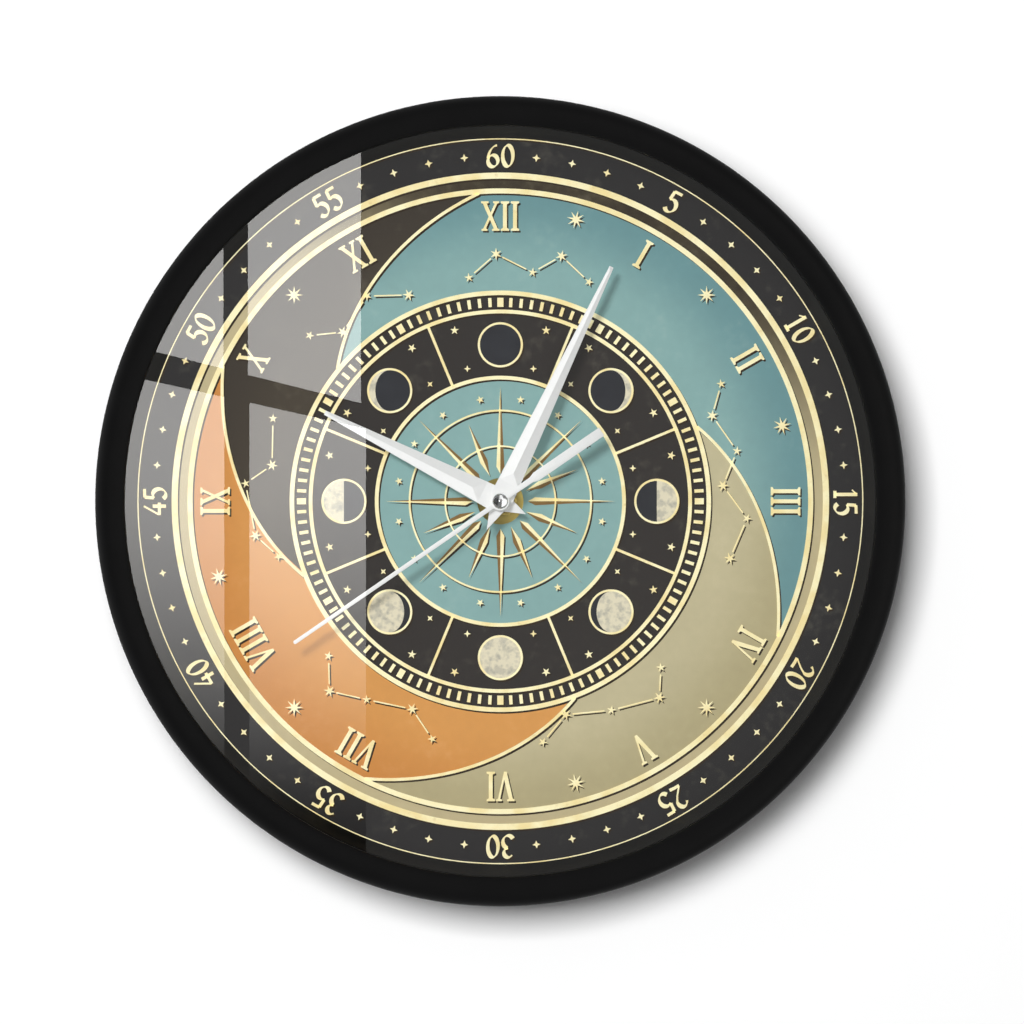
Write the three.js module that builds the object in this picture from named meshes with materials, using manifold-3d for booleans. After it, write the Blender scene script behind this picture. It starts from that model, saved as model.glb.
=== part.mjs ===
// Round quartz wall clock: a moulded rim holds glass, spacer, printed dial and back plate in one stack,
// and a geared quartz movement hangs on the dial by its threaded bushing and turns three hands.
//
// Sizes are in millimetres. Everything is drawn in the dial's own frame, x to the right, y up and z from
// the wall towards the viewer, with the hands' axis at x = y = 0 and the wall at z = 0. The last lines
// turn that frame upright, so that the finished clock has +Z up and its dial faces -Y.

import * as THREE from "three";
import { ConvexGeometry } from "three/addons/geometries/ConvexGeometry.js";
import { mergeVertices } from "three/addons/utils/BufferGeometryUtils.js";
import Module from "manifold-3d";

const wasm = await Module();
wasm.setup();

// Clearances
const SEAT_GAP = 0.3; // between two pieces that bear on each other
const SHAFT_FIT = 0.3; // radial, tubes on the hands' axis and screws
const PIVOT_FIT = 0.2; // radial, arbors in their pivot holes
const BATTERY_FIT = 0.35;

// Rim and the stack that it holds
const RIM_RADIUS = 150;
const RIM_WALL = 2.2;
const RIM_LIP = 3.2; // from the glass to the front of the rim
const RIM_OUTER_DROP = 4.6; // height of the round on the outer edge
const RIM_INNER_DROP = 1.9; // height of the round on the inner edge
const RIM_FOOT_CHAMFER = 0.6;
const GLASS_THICKNESS = 2.5;
const GLASS_BEARING = 1.6; // how far the lip covers the glass
const GLASS_CLEARANCE = 1.3; // from the hub cap to the glass
const SPACER_FRONT_WIDTH = 1.8;
const SPACER_REAR_WIDTH = 5.6;
const DIAL_THICKNESS = 2.4;
const RETAINER_WIDTH = 3.5;
const BACK_THICKNESS = 2.2;
const BACK_EDGE_GAP = 0.5;
const BACK_RIB_HEIGHT = 3;
const BACK_RIB_WIDTH = 1.6;
const RIB_INSET = 3; // from the window's corners and from the retaining ring
const WINDOW_MARGIN = 2.5; // between the movement and the window's edge
const WINDOW_CORNER = 4;

// Screw bosses on the rim, and the screws
const BOSS_COUNT = 6;
const BOSS_RADIUS = 2.9;
const BOSS_TO_WALL = 0.8;
const BOSS_TO_STACK = 0.6;
const BOSS_WEB = 2; // width of the rib between boss and rim wall
const SCREW_RADIUS = 1.1;
const SCREW_LENGTH = 10;
const SCREW_HEAD_RADIUS = 2.3;
const SCREW_CROWN_RADIUS = 1.6; // flat top of the head
const SCREW_HEAD_HEIGHT = 1.2;
const SCREW_HEAD_TO_WALL = 0.2;

// Keyhole hanger
const HANGER_WIDTH = 44;
const HANGER_HEIGHT = 22;
const HANGER_THICKNESS = 1.2;
const HANGER_CORNER = 3;
const HANGER_TO_RETAINER = 8;
const HANGER_SCREW_INSET = 5;
const HANGER_SCREW_LENGTH = 3;
const KEYHOLE_RADIUS = 4.5;
const KEYHOLE_SLOT = 4.6; // width of the slot for the nail's shank
const KEYHOLE_RISE = 10; // from the centre of the entry to the top of the slot
const KEYHOLE_MARGIN = 3; // of the back plate's cut-out around the keyhole

// Movement case, battery and contacts
const BATTERY_RADIUS = 7.1;
const BATTERY_LENGTH = 50.5;
const BATTERY_NUB_RADIUS = 2.7;
const BATTERY_NUB_LENGTH = 1.2;
const BATTERY_EDGE = 0.6;
const CONTACT_ROOM = 1.35; // at each end of the battery
const CONTACT_THICKNESS = 0.4;
const CONTACT_WIDTH = 9;
const CONTACT_BOW = 0.45; // how far the negative leaf springs out
const CASE_WALL = 1.4;
const CASE_FRONT = 1.3;
const CASE_CORNER = 3;
const BAY_WALL = 1; // between battery and train
const SADDLE_WIDTH = 1.6;
const SADDLE_SPREAD = 28;
const CORNER_POST = 3.2;
const MOVEMENT_GAP = 0.4; // between back plate and movement
const COVER_THICKNESS = 1.1;
const PIVOT_BOSS_RADIUS = 1.6;
const PIVOT_BOSS_HEIGHT = 1;
const PIVOT_DEPTH = 0.6; // of a pivot hole into the plate that carries it

// Bushing, washers and nut
const BUSHING_WALL = 1;
const BUSHING_FLANGE = 1.4; // how far the flange stands out
const FLANGE_THICKNESS = 1.2;
const BUSHING_STANDOUT = 0.3; // in front of the nut
const RUBBER_WIDTH = 8;
const RUBBER_THICKNESS = 0.8;
const WASHER_WIDTH = 4.3;
const WASHER_THICKNESS = 0.6;
const NUT_WALL = 1.2; // least wall, at the flats
const NUT_THICKNESS = 2;

// Train: teeth, distances between axes, directions of the axes seen from the front, and layers
const INTERMEDIATE_TEETH = [8, 40]; // pinion on the intermediate wheel, second wheel
const ROTOR_TEETH = [6, 36]; // rotor pinion, intermediate wheel
const THIRD_TEETH = [6, 45]; // pinion on the second wheel, third wheel
const CENTER_TEETH = [6, 48]; // pinion on the third wheel, center wheel
const WORKS_TEETH = [10, 30]; // cannon pinion, works wheel
const HOUR_TEETH = [8, 32]; // pinion on the works wheel, hour wheel
const INTERMEDIATE_DISTANCE = 8.4;
const ROTOR_DISTANCE = 7;
const THIRD_DISTANCE = 10.8;
const WORKS_CLEARANCE = 0.6; // between works arbor and center wheel
const INTERMEDIATE_DIRECTION = -10; // degrees
const ROTOR_DIRECTION = -35;
const THIRD_DIRECTION = 135;
const WORKS_DIRECTION = 60;
const ADDENDUM = 0.85; // of a module, above the pitch circle
const DEDENDUM = 1.15; // of a module, below it
const TOOTH_ROOT = 0.26; // half of the tooth at its root, in pitches
const TOOTH_TIP = 0.1; // half of the tooth at its tip, in pitches
const WHEEL_THICKNESS = 1;
const PINION_OVERLAP = 0.3; // a pinion is wider than its wheel by this on each side
const LAYER_GAP = 1.1;
const TRAIN_FLOOR = 1.5; // from the cover to the second wheel
const CLUTCH_THICKNESS = 0.4;
const CLUTCH_RADIUS = 4.4;
const CLUTCH_SLOT = 0.7;
const CLUTCH_SLOTS = 3;
const ARBOR_RADIUS = 0.6;
const POST_RADIUS = 0.4; // of the intermediate wheel
const TUBE_WALL = 0.7; // cannon tube
const PIPE_WALL = 0.8; // hour pipe
const FLANGE_GAP = 0.5; // between hour wheel and bushing
const HUB_WALL = 1;
const WEB_HOLES = 4; // openings in a wheel's web
const WEB_OPEN = 0.3; // radius of an opening, in widths of the web
const WEB_LEAST = 5.5; // width of the narrowest web that has openings
const KNOB_RADIUS = 5;
const KNOB_HEIGHT = 2;
const KNOB_RIDGES = 20;
const KNOB_RIDGE_DEPTH = 0.4;
const KNOB_SOCKET = 1.4;

// Step motor and circuit
const MAGNET_RADIUS = 3;
const MAGNET_HEIGHT = 2.8;
const MAGNET_GAP = 0.4;
const STATOR_THICKNESS = 1;
const STATOR_WEB = 1.3; // around the magnet
const STATOR_ARM = 2.8;
const CORE_WIDTH = 2.2;
const CORE_THICKNESS = 0.8;
const COIL_SPAN = 14; // between the arms
const COIL_RISE = 9; // of the coil's middle above the rotor
const COIL_LENGTH = 10.8;
const COIL_FLANGE_THICKNESS = 0.6;
const COIL_FLANGE_RADIUS = 2.8;
const SPOOL_WALL = 0.35;
const SUPPORT_RADIUS = 1.1;
const BOARD_LENGTH = 38;
const BOARD_WIDTH = 6.4;
const BOARD_THICKNESS = 1;
const BOARD_FLOOR = 1.6; // from the cover
const BOARD_SUPPORT_INSET = 5;
const CRYSTAL_RADIUS = 1.4;
const CRYSTAL_LENGTH = 8;

// Hands, with the angles clockwise from twelve at which they stand
const HAND_SHEET = 0.45;
const HAND_RIDGE = 0.55; // height of the ridge above the sheet
const HAND_GAP = 0.5;
const HAND_FLAT = 7; // where the ridge starts
const HAND_SHOULDER = 2; // where the blade is widest
const HOUR_ANGLE = 296.8;
const HOUR_LENGTH = 73;
const HOUR_TAIL = 10.7;
const HOUR_WIDTH = 9.2;
const HOUR_TIP = 1.7;
const MINUTE_ANGLE = 25.4;
const MINUTE_LENGTH = 96.3;
const MINUTE_TAIL = 11.8;
const MINUTE_WIDTH = 8.8;
const MINUTE_TIP = 1.6;
const SECOND_ANGLE = 235.5;
const SECOND_LENGTH = 93;
const SECOND_ROOT = 1.8;
const SECOND_TIP = 1.4;
const SECOND_NECK = 2.2; // width of the tail before the counterweight
const SECOND_NECK_END = 14;
const SECOND_FLARE = 2; // length over which the neck widens
const SECOND_TAIL = 45.6;
const SECOND_TAIL_WIDTH = 3.6;
const SECOND_HUB_RADIUS = 3.4;
const SECOND_THICKNESS = 0.6;
const CAP_RADIUS = 2.9;
const CAP_HEIGHT = 1.2;

// How finely round things are cut, by their radius
const FINE = 68;
const ROUND = 16;
const COARSE = 8;
const ROUND_RADIUS = 1.5;
const ARC_STEPS = 3;

// Radii of the stack, from the rim inwards
const rimInner = RIM_RADIUS - RIM_WALL;
const bossCircle = rimInner - BOSS_TO_WALL - BOSS_RADIUS;
const stackRadius = bossCircle - BOSS_RADIUS - BOSS_TO_STACK;
const openingRadius = stackRadius - GLASS_BEARING;
const retainerInner = stackRadius - RETAINER_WIDTH;

// Radii on the hands' axis, from the second arbor outwards
const tubeBore = ARBOR_RADIUS + SHAFT_FIT;
const tubeRadius = tubeBore + TUBE_WALL;
const pipeBore = tubeRadius + SHAFT_FIT;
const pipeRadius = pipeBore + PIPE_WALL;
const bushingBore = pipeRadius + SHAFT_FIT;
const bushingRadius = bushingBore + BUSHING_WALL;
const bushingHole = bushingRadius + SHAFT_FIT;
const pivotHole = ARBOR_RADIUS + PIVOT_FIT;

// Levels from the wall to the cover, then up through the layers of the train
const backRear = SCREW_HEAD_TO_WALL + SCREW_HEAD_HEIGHT + SEAT_GAP;
const backFront = backRear + BACK_THICKNESS;
const movementRear = backFront + MOVEMENT_GAP;
const coverFront = movementRear + COVER_THICKNESS;
const secondLayer = coverFront + TRAIN_FLOOR;
const intermediateLayer = secondLayer + WHEEL_THICKNESS + LAYER_GAP;
const centerLayer = intermediateLayer + WHEEL_THICKNESS + LAYER_GAP;
const clutchRear = centerLayer + WHEEL_THICKNESS + SEAT_GAP;
const worksLayer = clutchRear + CLUTCH_THICKNESS + SEAT_GAP + PINION_OVERLAP;
const hourLayer = worksLayer + WHEEL_THICKNESS + LAYER_GAP;
const flangeRear = hourLayer + WHEEL_THICKNESS + FLANGE_GAP;
const caseInner = flangeRear + FLANGE_THICKNESS + SEAT_GAP;
const movementFront = caseInner + CASE_FRONT;

// Levels from the movement to the front of the rim
const rubberRear = movementFront + SEAT_GAP;
const rubberFront = rubberRear + RUBBER_THICKNESS;
const dialRear = rubberFront + SEAT_GAP;
const dialFront = dialRear + DIAL_THICKNESS;
const washerRear = dialFront + SEAT_GAP;
const washerFront = washerRear + WASHER_THICKNESS;
const nutRear = washerFront + SEAT_GAP;
const bushingFront = nutRear + NUT_THICKNESS + BUSHING_STANDOUT;
const hourRear = bushingFront + HAND_GAP;
const hourFront = hourRear + HAND_SHEET + HAND_RIDGE;
const minuteRear = hourFront + HAND_GAP;
const minuteFront = minuteRear + HAND_SHEET + HAND_RIDGE;
const secondRear = minuteFront + HAND_GAP;
const secondFront = secondRear + SECOND_THICKNESS;
const capRear = secondFront + SEAT_GAP;
const spacerRear = dialFront + SEAT_GAP;
const glassRear = capRear + CAP_HEIGHT + GLASS_CLEARANCE;
const glassFront = glassRear + GLASS_THICKNESS;
const lipRear = glassFront + SEAT_GAP;
const rimFront = lipRear + RIM_LIP;

// Outline of the movement: as wide as the battery needs, and square
const caseInnerHalf = BATTERY_LENGTH / 2 + CONTACT_ROOM;
const caseHalf = caseInnerHalf + CASE_WALL;
const batteryY = -caseInnerHalf + BATTERY_FIT + BATTERY_RADIUS;
const batteryZ = caseInner - BATTERY_FIT - BATTERY_RADIUS;
const bayTop = batteryY + BATTERY_RADIUS + BATTERY_FIT;
const chamberBottom = bayTop + BAY_WALL;

// Modules and axes of the train
const moduleOf = (distance, [pinion, wheel]) => (2 * distance) / (pinion + wheel);
const tipRadius = (teeth, gearModule) => gearModule * (teeth / 2 + ADDENDUM);
const intermediateModule = moduleOf(INTERMEDIATE_DISTANCE, INTERMEDIATE_TEETH);
const rotorModule = moduleOf(ROTOR_DISTANCE, ROTOR_TEETH);
const thirdModule = moduleOf(THIRD_DISTANCE, THIRD_TEETH);
const centerModule = moduleOf(THIRD_DISTANCE, CENTER_TEETH);
const worksDistance = tipRadius(CENTER_TEETH[1], centerModule) + WORKS_CLEARANCE + ARBOR_RADIUS;
const worksModule = moduleOf(worksDistance, WORKS_TEETH);
const hourModule = moduleOf(worksDistance, HOUR_TEETH);

const radians = THREE.MathUtils.degToRad;
const from = (point, distance, degrees) =>
  new THREE.Vector2(distance, 0).rotateAround(new THREE.Vector2(), radians(degrees)).add(point);
const centerAxis = new THREE.Vector2(0, 0);
const intermediateAxis = from(centerAxis, INTERMEDIATE_DISTANCE, INTERMEDIATE_DIRECTION);
const rotorAxis = from(intermediateAxis, ROTOR_DISTANCE, ROTOR_DIRECTION);
const thirdAxis = from(centerAxis, THIRD_DISTANCE, THIRD_DIRECTION);
const worksAxis = from(centerAxis, worksDistance, WORKS_DIRECTION);

// A closed geometry as a solid, with its faces turned outwards
function solid(geometry) {
  const bare = geometry.clone();
  bare.deleteAttribute("normal");
  bare.deleteAttribute("uv");
  const merged = mergeVertices(bare, 1e-4);
  const vertProperties = merged.attributes.position.array;
  const triVerts = new Uint32Array(merged.index.array);
  const make = () => new wasm.Manifold(new wasm.Mesh({ numProp: 3, vertProperties, triVerts }));
  const made = make();
  if (made.volume() > 0) return made;
  triVerts.reverse();
  return make();
}

// A solid as a geometry to draw
function drawn(shape) {
  const { vertProperties, triVerts } = shape.getMesh();
  const geometry = new THREE.BufferGeometry();
  geometry.setAttribute("position", new THREE.BufferAttribute(new Float32Array(vertProperties), 3));
  geometry.setIndex(new THREE.BufferAttribute(new Uint32Array(triVerts), 1));
  const facets = geometry.toNonIndexed();
  facets.computeVertexNormals();
  return facets;
}

const joined = (first, ...others) => others.reduce((whole, other) => whole.add(other), first);
const cut = (first, ...others) => others.reduce((whole, other) => whole.subtract(other), first);

// Points evenly spaced on a circle, and a circle cut as finely as its radius asks
function pattern(count, radius, centre = centerAxis) {
  const points = [];
  for (let step = 0; step < count; step += 1) points.push(from(centre, radius, (360 * step) / count));
  return points;
}

function circle(radius, centre = centerAxis) {
  if (radius >= RIM_RADIUS / 3) return pattern(FINE, radius, centre);
  return pattern(radius >= ROUND_RADIUS ? ROUND : COARSE, radius, centre);
}

function roundedRectangle(x0, x1, y0, y1, radius) {
  const points = [];
  const corners = [
    [x1 - radius, y1 - radius, 0],
    [x0 + radius, y1 - radius, 90],
    [x0 + radius, y0 + radius, 180],
    [x1 - radius, y0 + radius, 270],
  ];
  for (const [x, y, start] of corners) {
    for (let step = 0; step <= ARC_STEPS; step += 1) {
      points.push(from(new THREE.Vector2(x, y), radius, start + (90 * step) / ARC_STEPS));
    }
  }
  return points;
}

// Outline of a straight bar between two points
function bar(start, end, width) {
  const along = end.clone().sub(start);
  const side = new THREE.Vector2(-along.y, along.x).setLength(width / 2);
  return [start.clone().sub(side), end.clone().sub(side), end.clone().add(side), start.clone().add(side)];
}

// A flat outline with holes, as a plate from one level to another
function plate(outline, rear, front, holes = []) {
  const shape = new THREE.Shape(outline);
  for (const hole of holes) shape.holes.push(new THREE.Path(hole));
  const geometry = new THREE.ExtrudeGeometry(shape, { depth: front - rear, bevelEnabled: false });
  return solid(geometry.translate(0, 0, rear));
}

const rod = (radius, rear, front, axis = centerAxis) => plate(circle(radius, axis), rear, front);
const tube = (radius, bore, rear, front, axis = centerAxis) =>
  plate(circle(radius, axis), rear, front, [circle(bore, axis)]);

function block(x0, x1, y0, y1, rear, front) {
  const box = new THREE.BoxGeometry(x1 - x0, y1 - y0, front - rear);
  return solid(box.translate((x0 + x1) / 2, (y0 + y1) / 2, (rear + front) / 2));
}

// A profile of radius and level, turned about the hands' axis
function turned(profile, steps) {
  const points = profile.map(([radius, level]) => new THREE.Vector2(radius, level));
  return solid(new THREE.LatheGeometry(points, steps).rotateX(Math.PI / 2));
}

const clock = new THREE.Group();
const dialFrame = new THREE.Group();
dialFrame.rotation.x = Math.PI / 2;
clock.add(dialFrame);

function piece(name, shape, finish) {
  const mesh = new THREE.Mesh(drawn(shape), new THREE.MeshStandardMaterial(finish));
  mesh.name = name;
  dialFrame.add(mesh);
}

const BLACK_RIM = { color: 0x151515, roughness: 0.45, metalness: 0 };
const CHARCOAL = { color: 0x262627, roughness: 0.6, metalness: 0 };
const CLEAR = { color: 0xeef4f2, roughness: 0.02, metalness: 0, transparent: true, opacity: 0.15 };
const PRINT = { color: 0xbd9c66, roughness: 0.7, metalness: 0 };
const STEEL = { color: 0xb9bcc0, roughness: 0.35, metalness: 1 };
const CHROME = { color: 0xe8e8ea, roughness: 0.06, metalness: 1 };
const BRASS = { color: 0xb5a254, roughness: 0.35, metalness: 1 };
const WHITE_LACQUER = { color: 0xf4f4f2, roughness: 0.35, metalness: 0 };
const RUBBER = { color: 0x1d1d1d, roughness: 0.85, metalness: 0 };
const MOVEMENT_BLACK = { color: 0x1b1b1c, roughness: 0.55, metalness: 0 };
const WHITE_NYLON = { color: 0xe6e4da, roughness: 0.5, metalness: 0 };
const RED_NYLON = { color: 0xa83226, roughness: 0.5, metalness: 0 };
const COPPER = { color: 0xa5562c, roughness: 0.4, metalness: 1 };
const MAGNET_GREY = { color: 0x3b3b3d, roughness: 0.5, metalness: 0.6 };
const BOARD_BROWN = { color: 0x8a6a3a, roughness: 0.6, metalness: 0 };
const CELL_WRAP = { color: 0x2d4a3a, roughness: 0.4, metalness: 0.2 };

// Rim: a revolved section with a crowned front, screw bosses inside its skirt and webs that tie them in
function frameRim() {
  const crown = (RIM_RADIUS + openingRadius) / 2;
  const outerRound = new THREE.EllipseCurve(
    crown, rimFront - RIM_OUTER_DROP, RIM_RADIUS - crown, RIM_OUTER_DROP, 0, Math.PI / 2,
  );
  const innerRound = new THREE.EllipseCurve(
    crown, rimFront - RIM_INNER_DROP, crown - openingRadius, RIM_INNER_DROP, Math.PI / 2, Math.PI,
  );
  const section = [
    [rimInner, 0],
    [RIM_RADIUS - RIM_FOOT_CHAMFER, 0],
    [RIM_RADIUS, RIM_FOOT_CHAMFER],
    ...outerRound.getPoints(ARC_STEPS).map((p) => p.toArray()),
    ...innerRound.getPoints(ARC_STEPS).slice(1).map((p) => p.toArray()),
    [openingRadius, lipRear],
    [rimInner, lipRear],
    [rimInner, 0],
  ];
  let rim = turned(section, FINE);
  const bossRear = backFront + SEAT_GAP;
  const intoLip = lipRear + RIM_LIP / 4;
  for (const place of pattern(BOSS_COUNT, bossCircle)) {
    const inWall = place.clone().setLength(rimInner + RIM_WALL / 2);
    const web = plate(bar(place, inWall, BOSS_WEB), bossRear, intoLip);
    rim = joined(rim, rod(BOSS_RADIUS, bossRear, intoLip, place), web);
  }
  const pilots = pattern(BOSS_COUNT, bossCircle).map((place) =>
    rod(SCREW_RADIUS + SHAFT_FIT, bossRear - SEAT_GAP, backRear + SCREW_LENGTH + SEAT_GAP, place),
  );
  return cut(rim, ...pilots);
}

// Back plate: a disc with a window for the movement, screw holes, a cut-out behind the hanger and ribs
const windowHalf = caseHalf + WINDOW_MARGIN;
const hangerY = retainerInner - HANGER_TO_RETAINER - HANGER_HEIGHT / 2;
const keyholeEntry = hangerY - KEYHOLE_RISE / 2;
const keyholeTop = keyholeEntry + KEYHOLE_RISE;
const hangerScrews = [-1, 1].map(
  (side) => new THREE.Vector2(side * (HANGER_WIDTH / 2 - HANGER_SCREW_INSET), hangerY),
);

function backPlate() {
  const screwHole = SCREW_RADIUS + SHAFT_FIT;
  const sideReach = KEYHOLE_RADIUS + KEYHOLE_MARGIN;
  const holes = [
    roundedRectangle(-windowHalf, windowHalf, -windowHalf, windowHalf, WINDOW_CORNER),
    roundedRectangle(
      -sideReach, sideReach, keyholeEntry - sideReach, keyholeTop + KEYHOLE_MARGIN, KEYHOLE_MARGIN,
    ),
    ...pattern(BOSS_COUNT, bossCircle).map((place) => circle(screwHole, place)),
    ...hangerScrews.map((place) => circle(screwHole, place)),
  ];
  const disc = plate(circle(rimInner - BACK_EDGE_GAP), backRear, backFront, holes);
  const ribStart = windowHalf * Math.SQRT2 + RIB_INSET;
  const ribEnd = retainerInner - RIB_INSET;
  const ribs = pattern(BOSS_COUNT, 1).map((direction) => {
    const near = direction.clone().setLength(ribStart);
    const far = direction.clone().setLength(ribEnd);
    const outline = bar(near, far, BACK_RIB_WIDTH);
    return plate(outline, backFront - BACK_THICKNESS / 2, backFront + BACK_RIB_HEIGHT);
  });
  return joined(disc, ...ribs);
}

// A pan-head screw; its head lies at the rear of the seat, or in front of it when the screw is turned round
function screw(place, seat, length, direction) {
  const head = seat - direction * SEAT_GAP;
  const top = head - direction * SCREW_HEAD_HEIGHT;
  const tip = seat + direction * length;
  const profile = [
    [0, top],
    [SCREW_CROWN_RADIUS, top],
    [SCREW_HEAD_RADIUS, (top + head) / 2],
    [SCREW_HEAD_RADIUS, head],
    [SCREW_RADIUS, head],
    [SCREW_RADIUS, tip - direction * SCREW_RADIUS],
    [0, tip],
  ];
  return turned(profile, COARSE).translate([place.x, place.y, 0]);
}

// Hanger: a steel plate with a keyhole whose slot ends in a flat top
const hangerRear = backFront + SEAT_GAP;
const hangerFront = hangerRear + HANGER_THICKNESS;

function hangerPlate() {
  const half = KEYHOLE_SLOT / 2;
  const meet = Math.asin(half / KEYHOLE_RADIUS);
  const entry = new THREE.EllipseCurve(
    0, keyholeEntry, KEYHOLE_RADIUS, KEYHOLE_RADIUS, Math.PI / 2 + meet, 2.5 * Math.PI - meet,
  );
  const slotTop = [new THREE.Vector2(half, keyholeTop), new THREE.Vector2(-half, keyholeTop)];
  const keyhole = [...entry.getPoints(ROUND), ...slotTop];
  const outline = roundedRectangle(
    -HANGER_WIDTH / 2, HANGER_WIDTH / 2,
    hangerY - HANGER_HEIGHT / 2, hangerY + HANGER_HEIGHT / 2, HANGER_CORNER,
  );
  const screwHoles = hangerScrews.map((place) => circle(SCREW_RADIUS + SHAFT_FIT, place));
  return plate(outline, hangerRear, hangerFront, [keyhole, ...screwHoles]);
}

// Axes that pivot in both the cover and the case, and where the coil and the circuit board are held
const pivots = [thirdAxis, rotorAxis];
const statorRear = intermediateLayer + WHEEL_THICKNESS + LAYER_GAP + (MAGNET_HEIGHT - STATOR_THICKNESS) / 2;
const statorFront = statorRear + STATOR_THICKNESS;
const coreRear = statorFront + SEAT_GAP;
const coreFront = coreRear + CORE_THICKNESS;
const coilX = caseInnerHalf - SEAT_GAP - COIL_FLANGE_RADIUS;
const coilY = rotorAxis.y + COIL_RISE;
const coilZ = (coreRear + coreFront) / 2;
const coilEnds = [-1, 1].map((side) => new THREE.Vector2(coilX, coilY + (side * COIL_SPAN) / 2));
const boardRear = coverFront + BOARD_FLOOR;
const boardFront = boardRear + BOARD_THICKNESS;
const boardTop = caseInnerHalf - 2 * SEAT_GAP;
const boardLeft = -caseInnerHalf + CORNER_POST + 2 * SEAT_GAP;
const boardY = boardTop - BOARD_WIDTH / 2;
const boardSupports = [BOARD_SUPPORT_INSET, BOARD_LENGTH - BOARD_SUPPORT_INSET].map(
  (along) => new THREE.Vector2(boardLeft + along, boardY),
);

// Movement case: a moulded box open at the rear, with a battery bay below and the train's chamber above
function movementCase() {
  const outline = roundedRectangle(-caseHalf, caseHalf, -caseHalf, caseHalf, CASE_CORNER);
  const bay = block(-caseInnerHalf, caseInnerHalf, -caseInnerHalf, bayTop, 0, caseInner);
  const chamber = block(-caseInnerHalf, caseInnerHalf, chamberBottom, caseInnerHalf, 0, caseInner);
  const shell = cut(plate(outline, movementRear, movementFront), bay, chamber);
  const cellRoom = BATTERY_RADIUS + BATTERY_FIT;
  const cell = solid(
    new THREE.CylinderGeometry(cellRoom, cellRoom, 2 * caseHalf, ROUND)
      .rotateZ(Math.PI / 2)
      .translate(0, batteryY, batteryZ),
  );
  const saddles = [-1, 1].map((side) => {
    const middle = (side * SADDLE_SPREAD) / 2;
    const left = middle - SADDLE_WIDTH / 2;
    const rib = block(
      left, left + SADDLE_WIDTH, -caseHalf + CASE_WALL / 2, bayTop + BAY_WALL / 2,
      batteryZ, caseInner + CASE_FRONT / 2,
    );
    return cut(rib, cell);
  });
  const postSeat = coverFront + SEAT_GAP;
  const inWall = CASE_WALL / 2;
  const posts = [-1, 1].flatMap((side) => {
    const near = side * (caseInnerHalf - CORNER_POST);
    const far = side * (caseInnerHalf + inWall);
    const [x0, x1] = [near, far].sort((a, b) => a - b);
    return [
      block(x0, x1, chamberBottom - BAY_WALL / 2, chamberBottom + CORNER_POST, postSeat, caseInner + inWall),
      block(x0, x1, caseInnerHalf - CORNER_POST, caseInnerHalf + inWall, postSeat, caseInner + inWall),
    ];
  });
  const bosses = [...pivots, worksAxis].map((axis) =>
    rod(PIVOT_BOSS_RADIUS, caseInner - PIVOT_BOSS_HEIGHT, caseInner + inWall, axis),
  );
  const holes = [...pivots, worksAxis].map((axis) =>
    rod(pivotHole, caseInner - 2 * PIVOT_BOSS_HEIGHT, caseInner + PIVOT_DEPTH, axis),
  );
  const supports = [
    ...coilEnds.map((axis) => rod(SUPPORT_RADIUS, coreFront + SEAT_GAP, caseInner + inWall, axis)),
    ...boardSupports.map((axis) => rod(SUPPORT_RADIUS, boardFront + SEAT_GAP, caseInner + inWall, axis)),
  ];
  const bushingWay = rod(bushingHole, caseInner - SEAT_GAP, movementFront + SEAT_GAP);
  return cut(joined(shell, ...saddles, ...posts, ...bosses, ...supports), ...holes, bushingWay);
}

// Movement cover: a plate inset in the case, with pivot bosses, the intermediate wheel's post and supports
function movementCover() {
  const edge = caseInnerHalf - SEAT_GAP;
  const outline = roundedRectangle(-edge, edge, chamberBottom + SEAT_GAP, edge, CASE_CORNER - CASE_WALL);
  const inPlate = coverFront - COVER_THICKNESS / 2;
  const bosses = [centerAxis, ...pivots].map((axis) =>
    rod(PIVOT_BOSS_RADIUS, inPlate, coverFront + PIVOT_BOSS_HEIGHT, axis),
  );
  const holes = [centerAxis, ...pivots].map((axis) =>
    rod(pivotHole, coverFront - PIVOT_DEPTH, coverFront + 2 * PIVOT_BOSS_HEIGHT, axis),
  );
  const post = rod(POST_RADIUS, inPlate, intermediateLayer + WHEEL_THICKNESS, intermediateAxis);
  const supports = [
    ...coilEnds.map((axis) => rod(SUPPORT_RADIUS, inPlate, statorRear - SEAT_GAP, axis)),
    ...boardSupports.map((axis) => rod(SUPPORT_RADIUS, inPlate, boardRear - SEAT_GAP, axis)),
  ];
  const knobWay = rod(pivotHole, movementRear - SEAT_GAP, coverFront + SEAT_GAP, worksAxis);
  const cover = plate(outline, movementRear, coverFront);
  return cut(joined(cover, ...bosses, post, ...supports), ...holes, knobWay);
}

function threadedBushing() {
  const flangeFront = flangeRear + FLANGE_THICKNESS;
  const flange = tube(bushingRadius + BUSHING_FLANGE, bushingBore, flangeRear, flangeFront);
  return joined(flange, tube(bushingRadius, bushingBore, flangeRear, bushingFront));
}

function hexNut() {
  const corner = (bushingHole + NUT_WALL) / Math.cos(Math.PI / 6);
  return plate(pattern(6, corner), nutRear, nutRear + NUT_THICKNESS, [circle(bushingHole)]);
}

// Toothed outline; phase is the direction of the middle of one tooth, in radians
function toothed(teeth, gearModule, phase, axis) {
  const pitch = (2 * Math.PI) / teeth;
  const tip = tipRadius(teeth, gearModule);
  const root = gearModule * (teeth / 2 - DEDENDUM);
  const flank = [
    [root, -TOOTH_ROOT],
    [tip, -TOOTH_TIP],
    [tip, TOOTH_TIP],
    [root, TOOTH_ROOT],
  ];
  const points = [];
  for (let tooth = 0; tooth < teeth; tooth += 1) {
    for (const [radius, share] of flank) {
      const angle = phase + (tooth + share) * pitch;
      points.push(new THREE.Vector2(radius * Math.cos(angle), radius * Math.sin(angle)).add(axis));
    }
  }
  return points;
}

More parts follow.
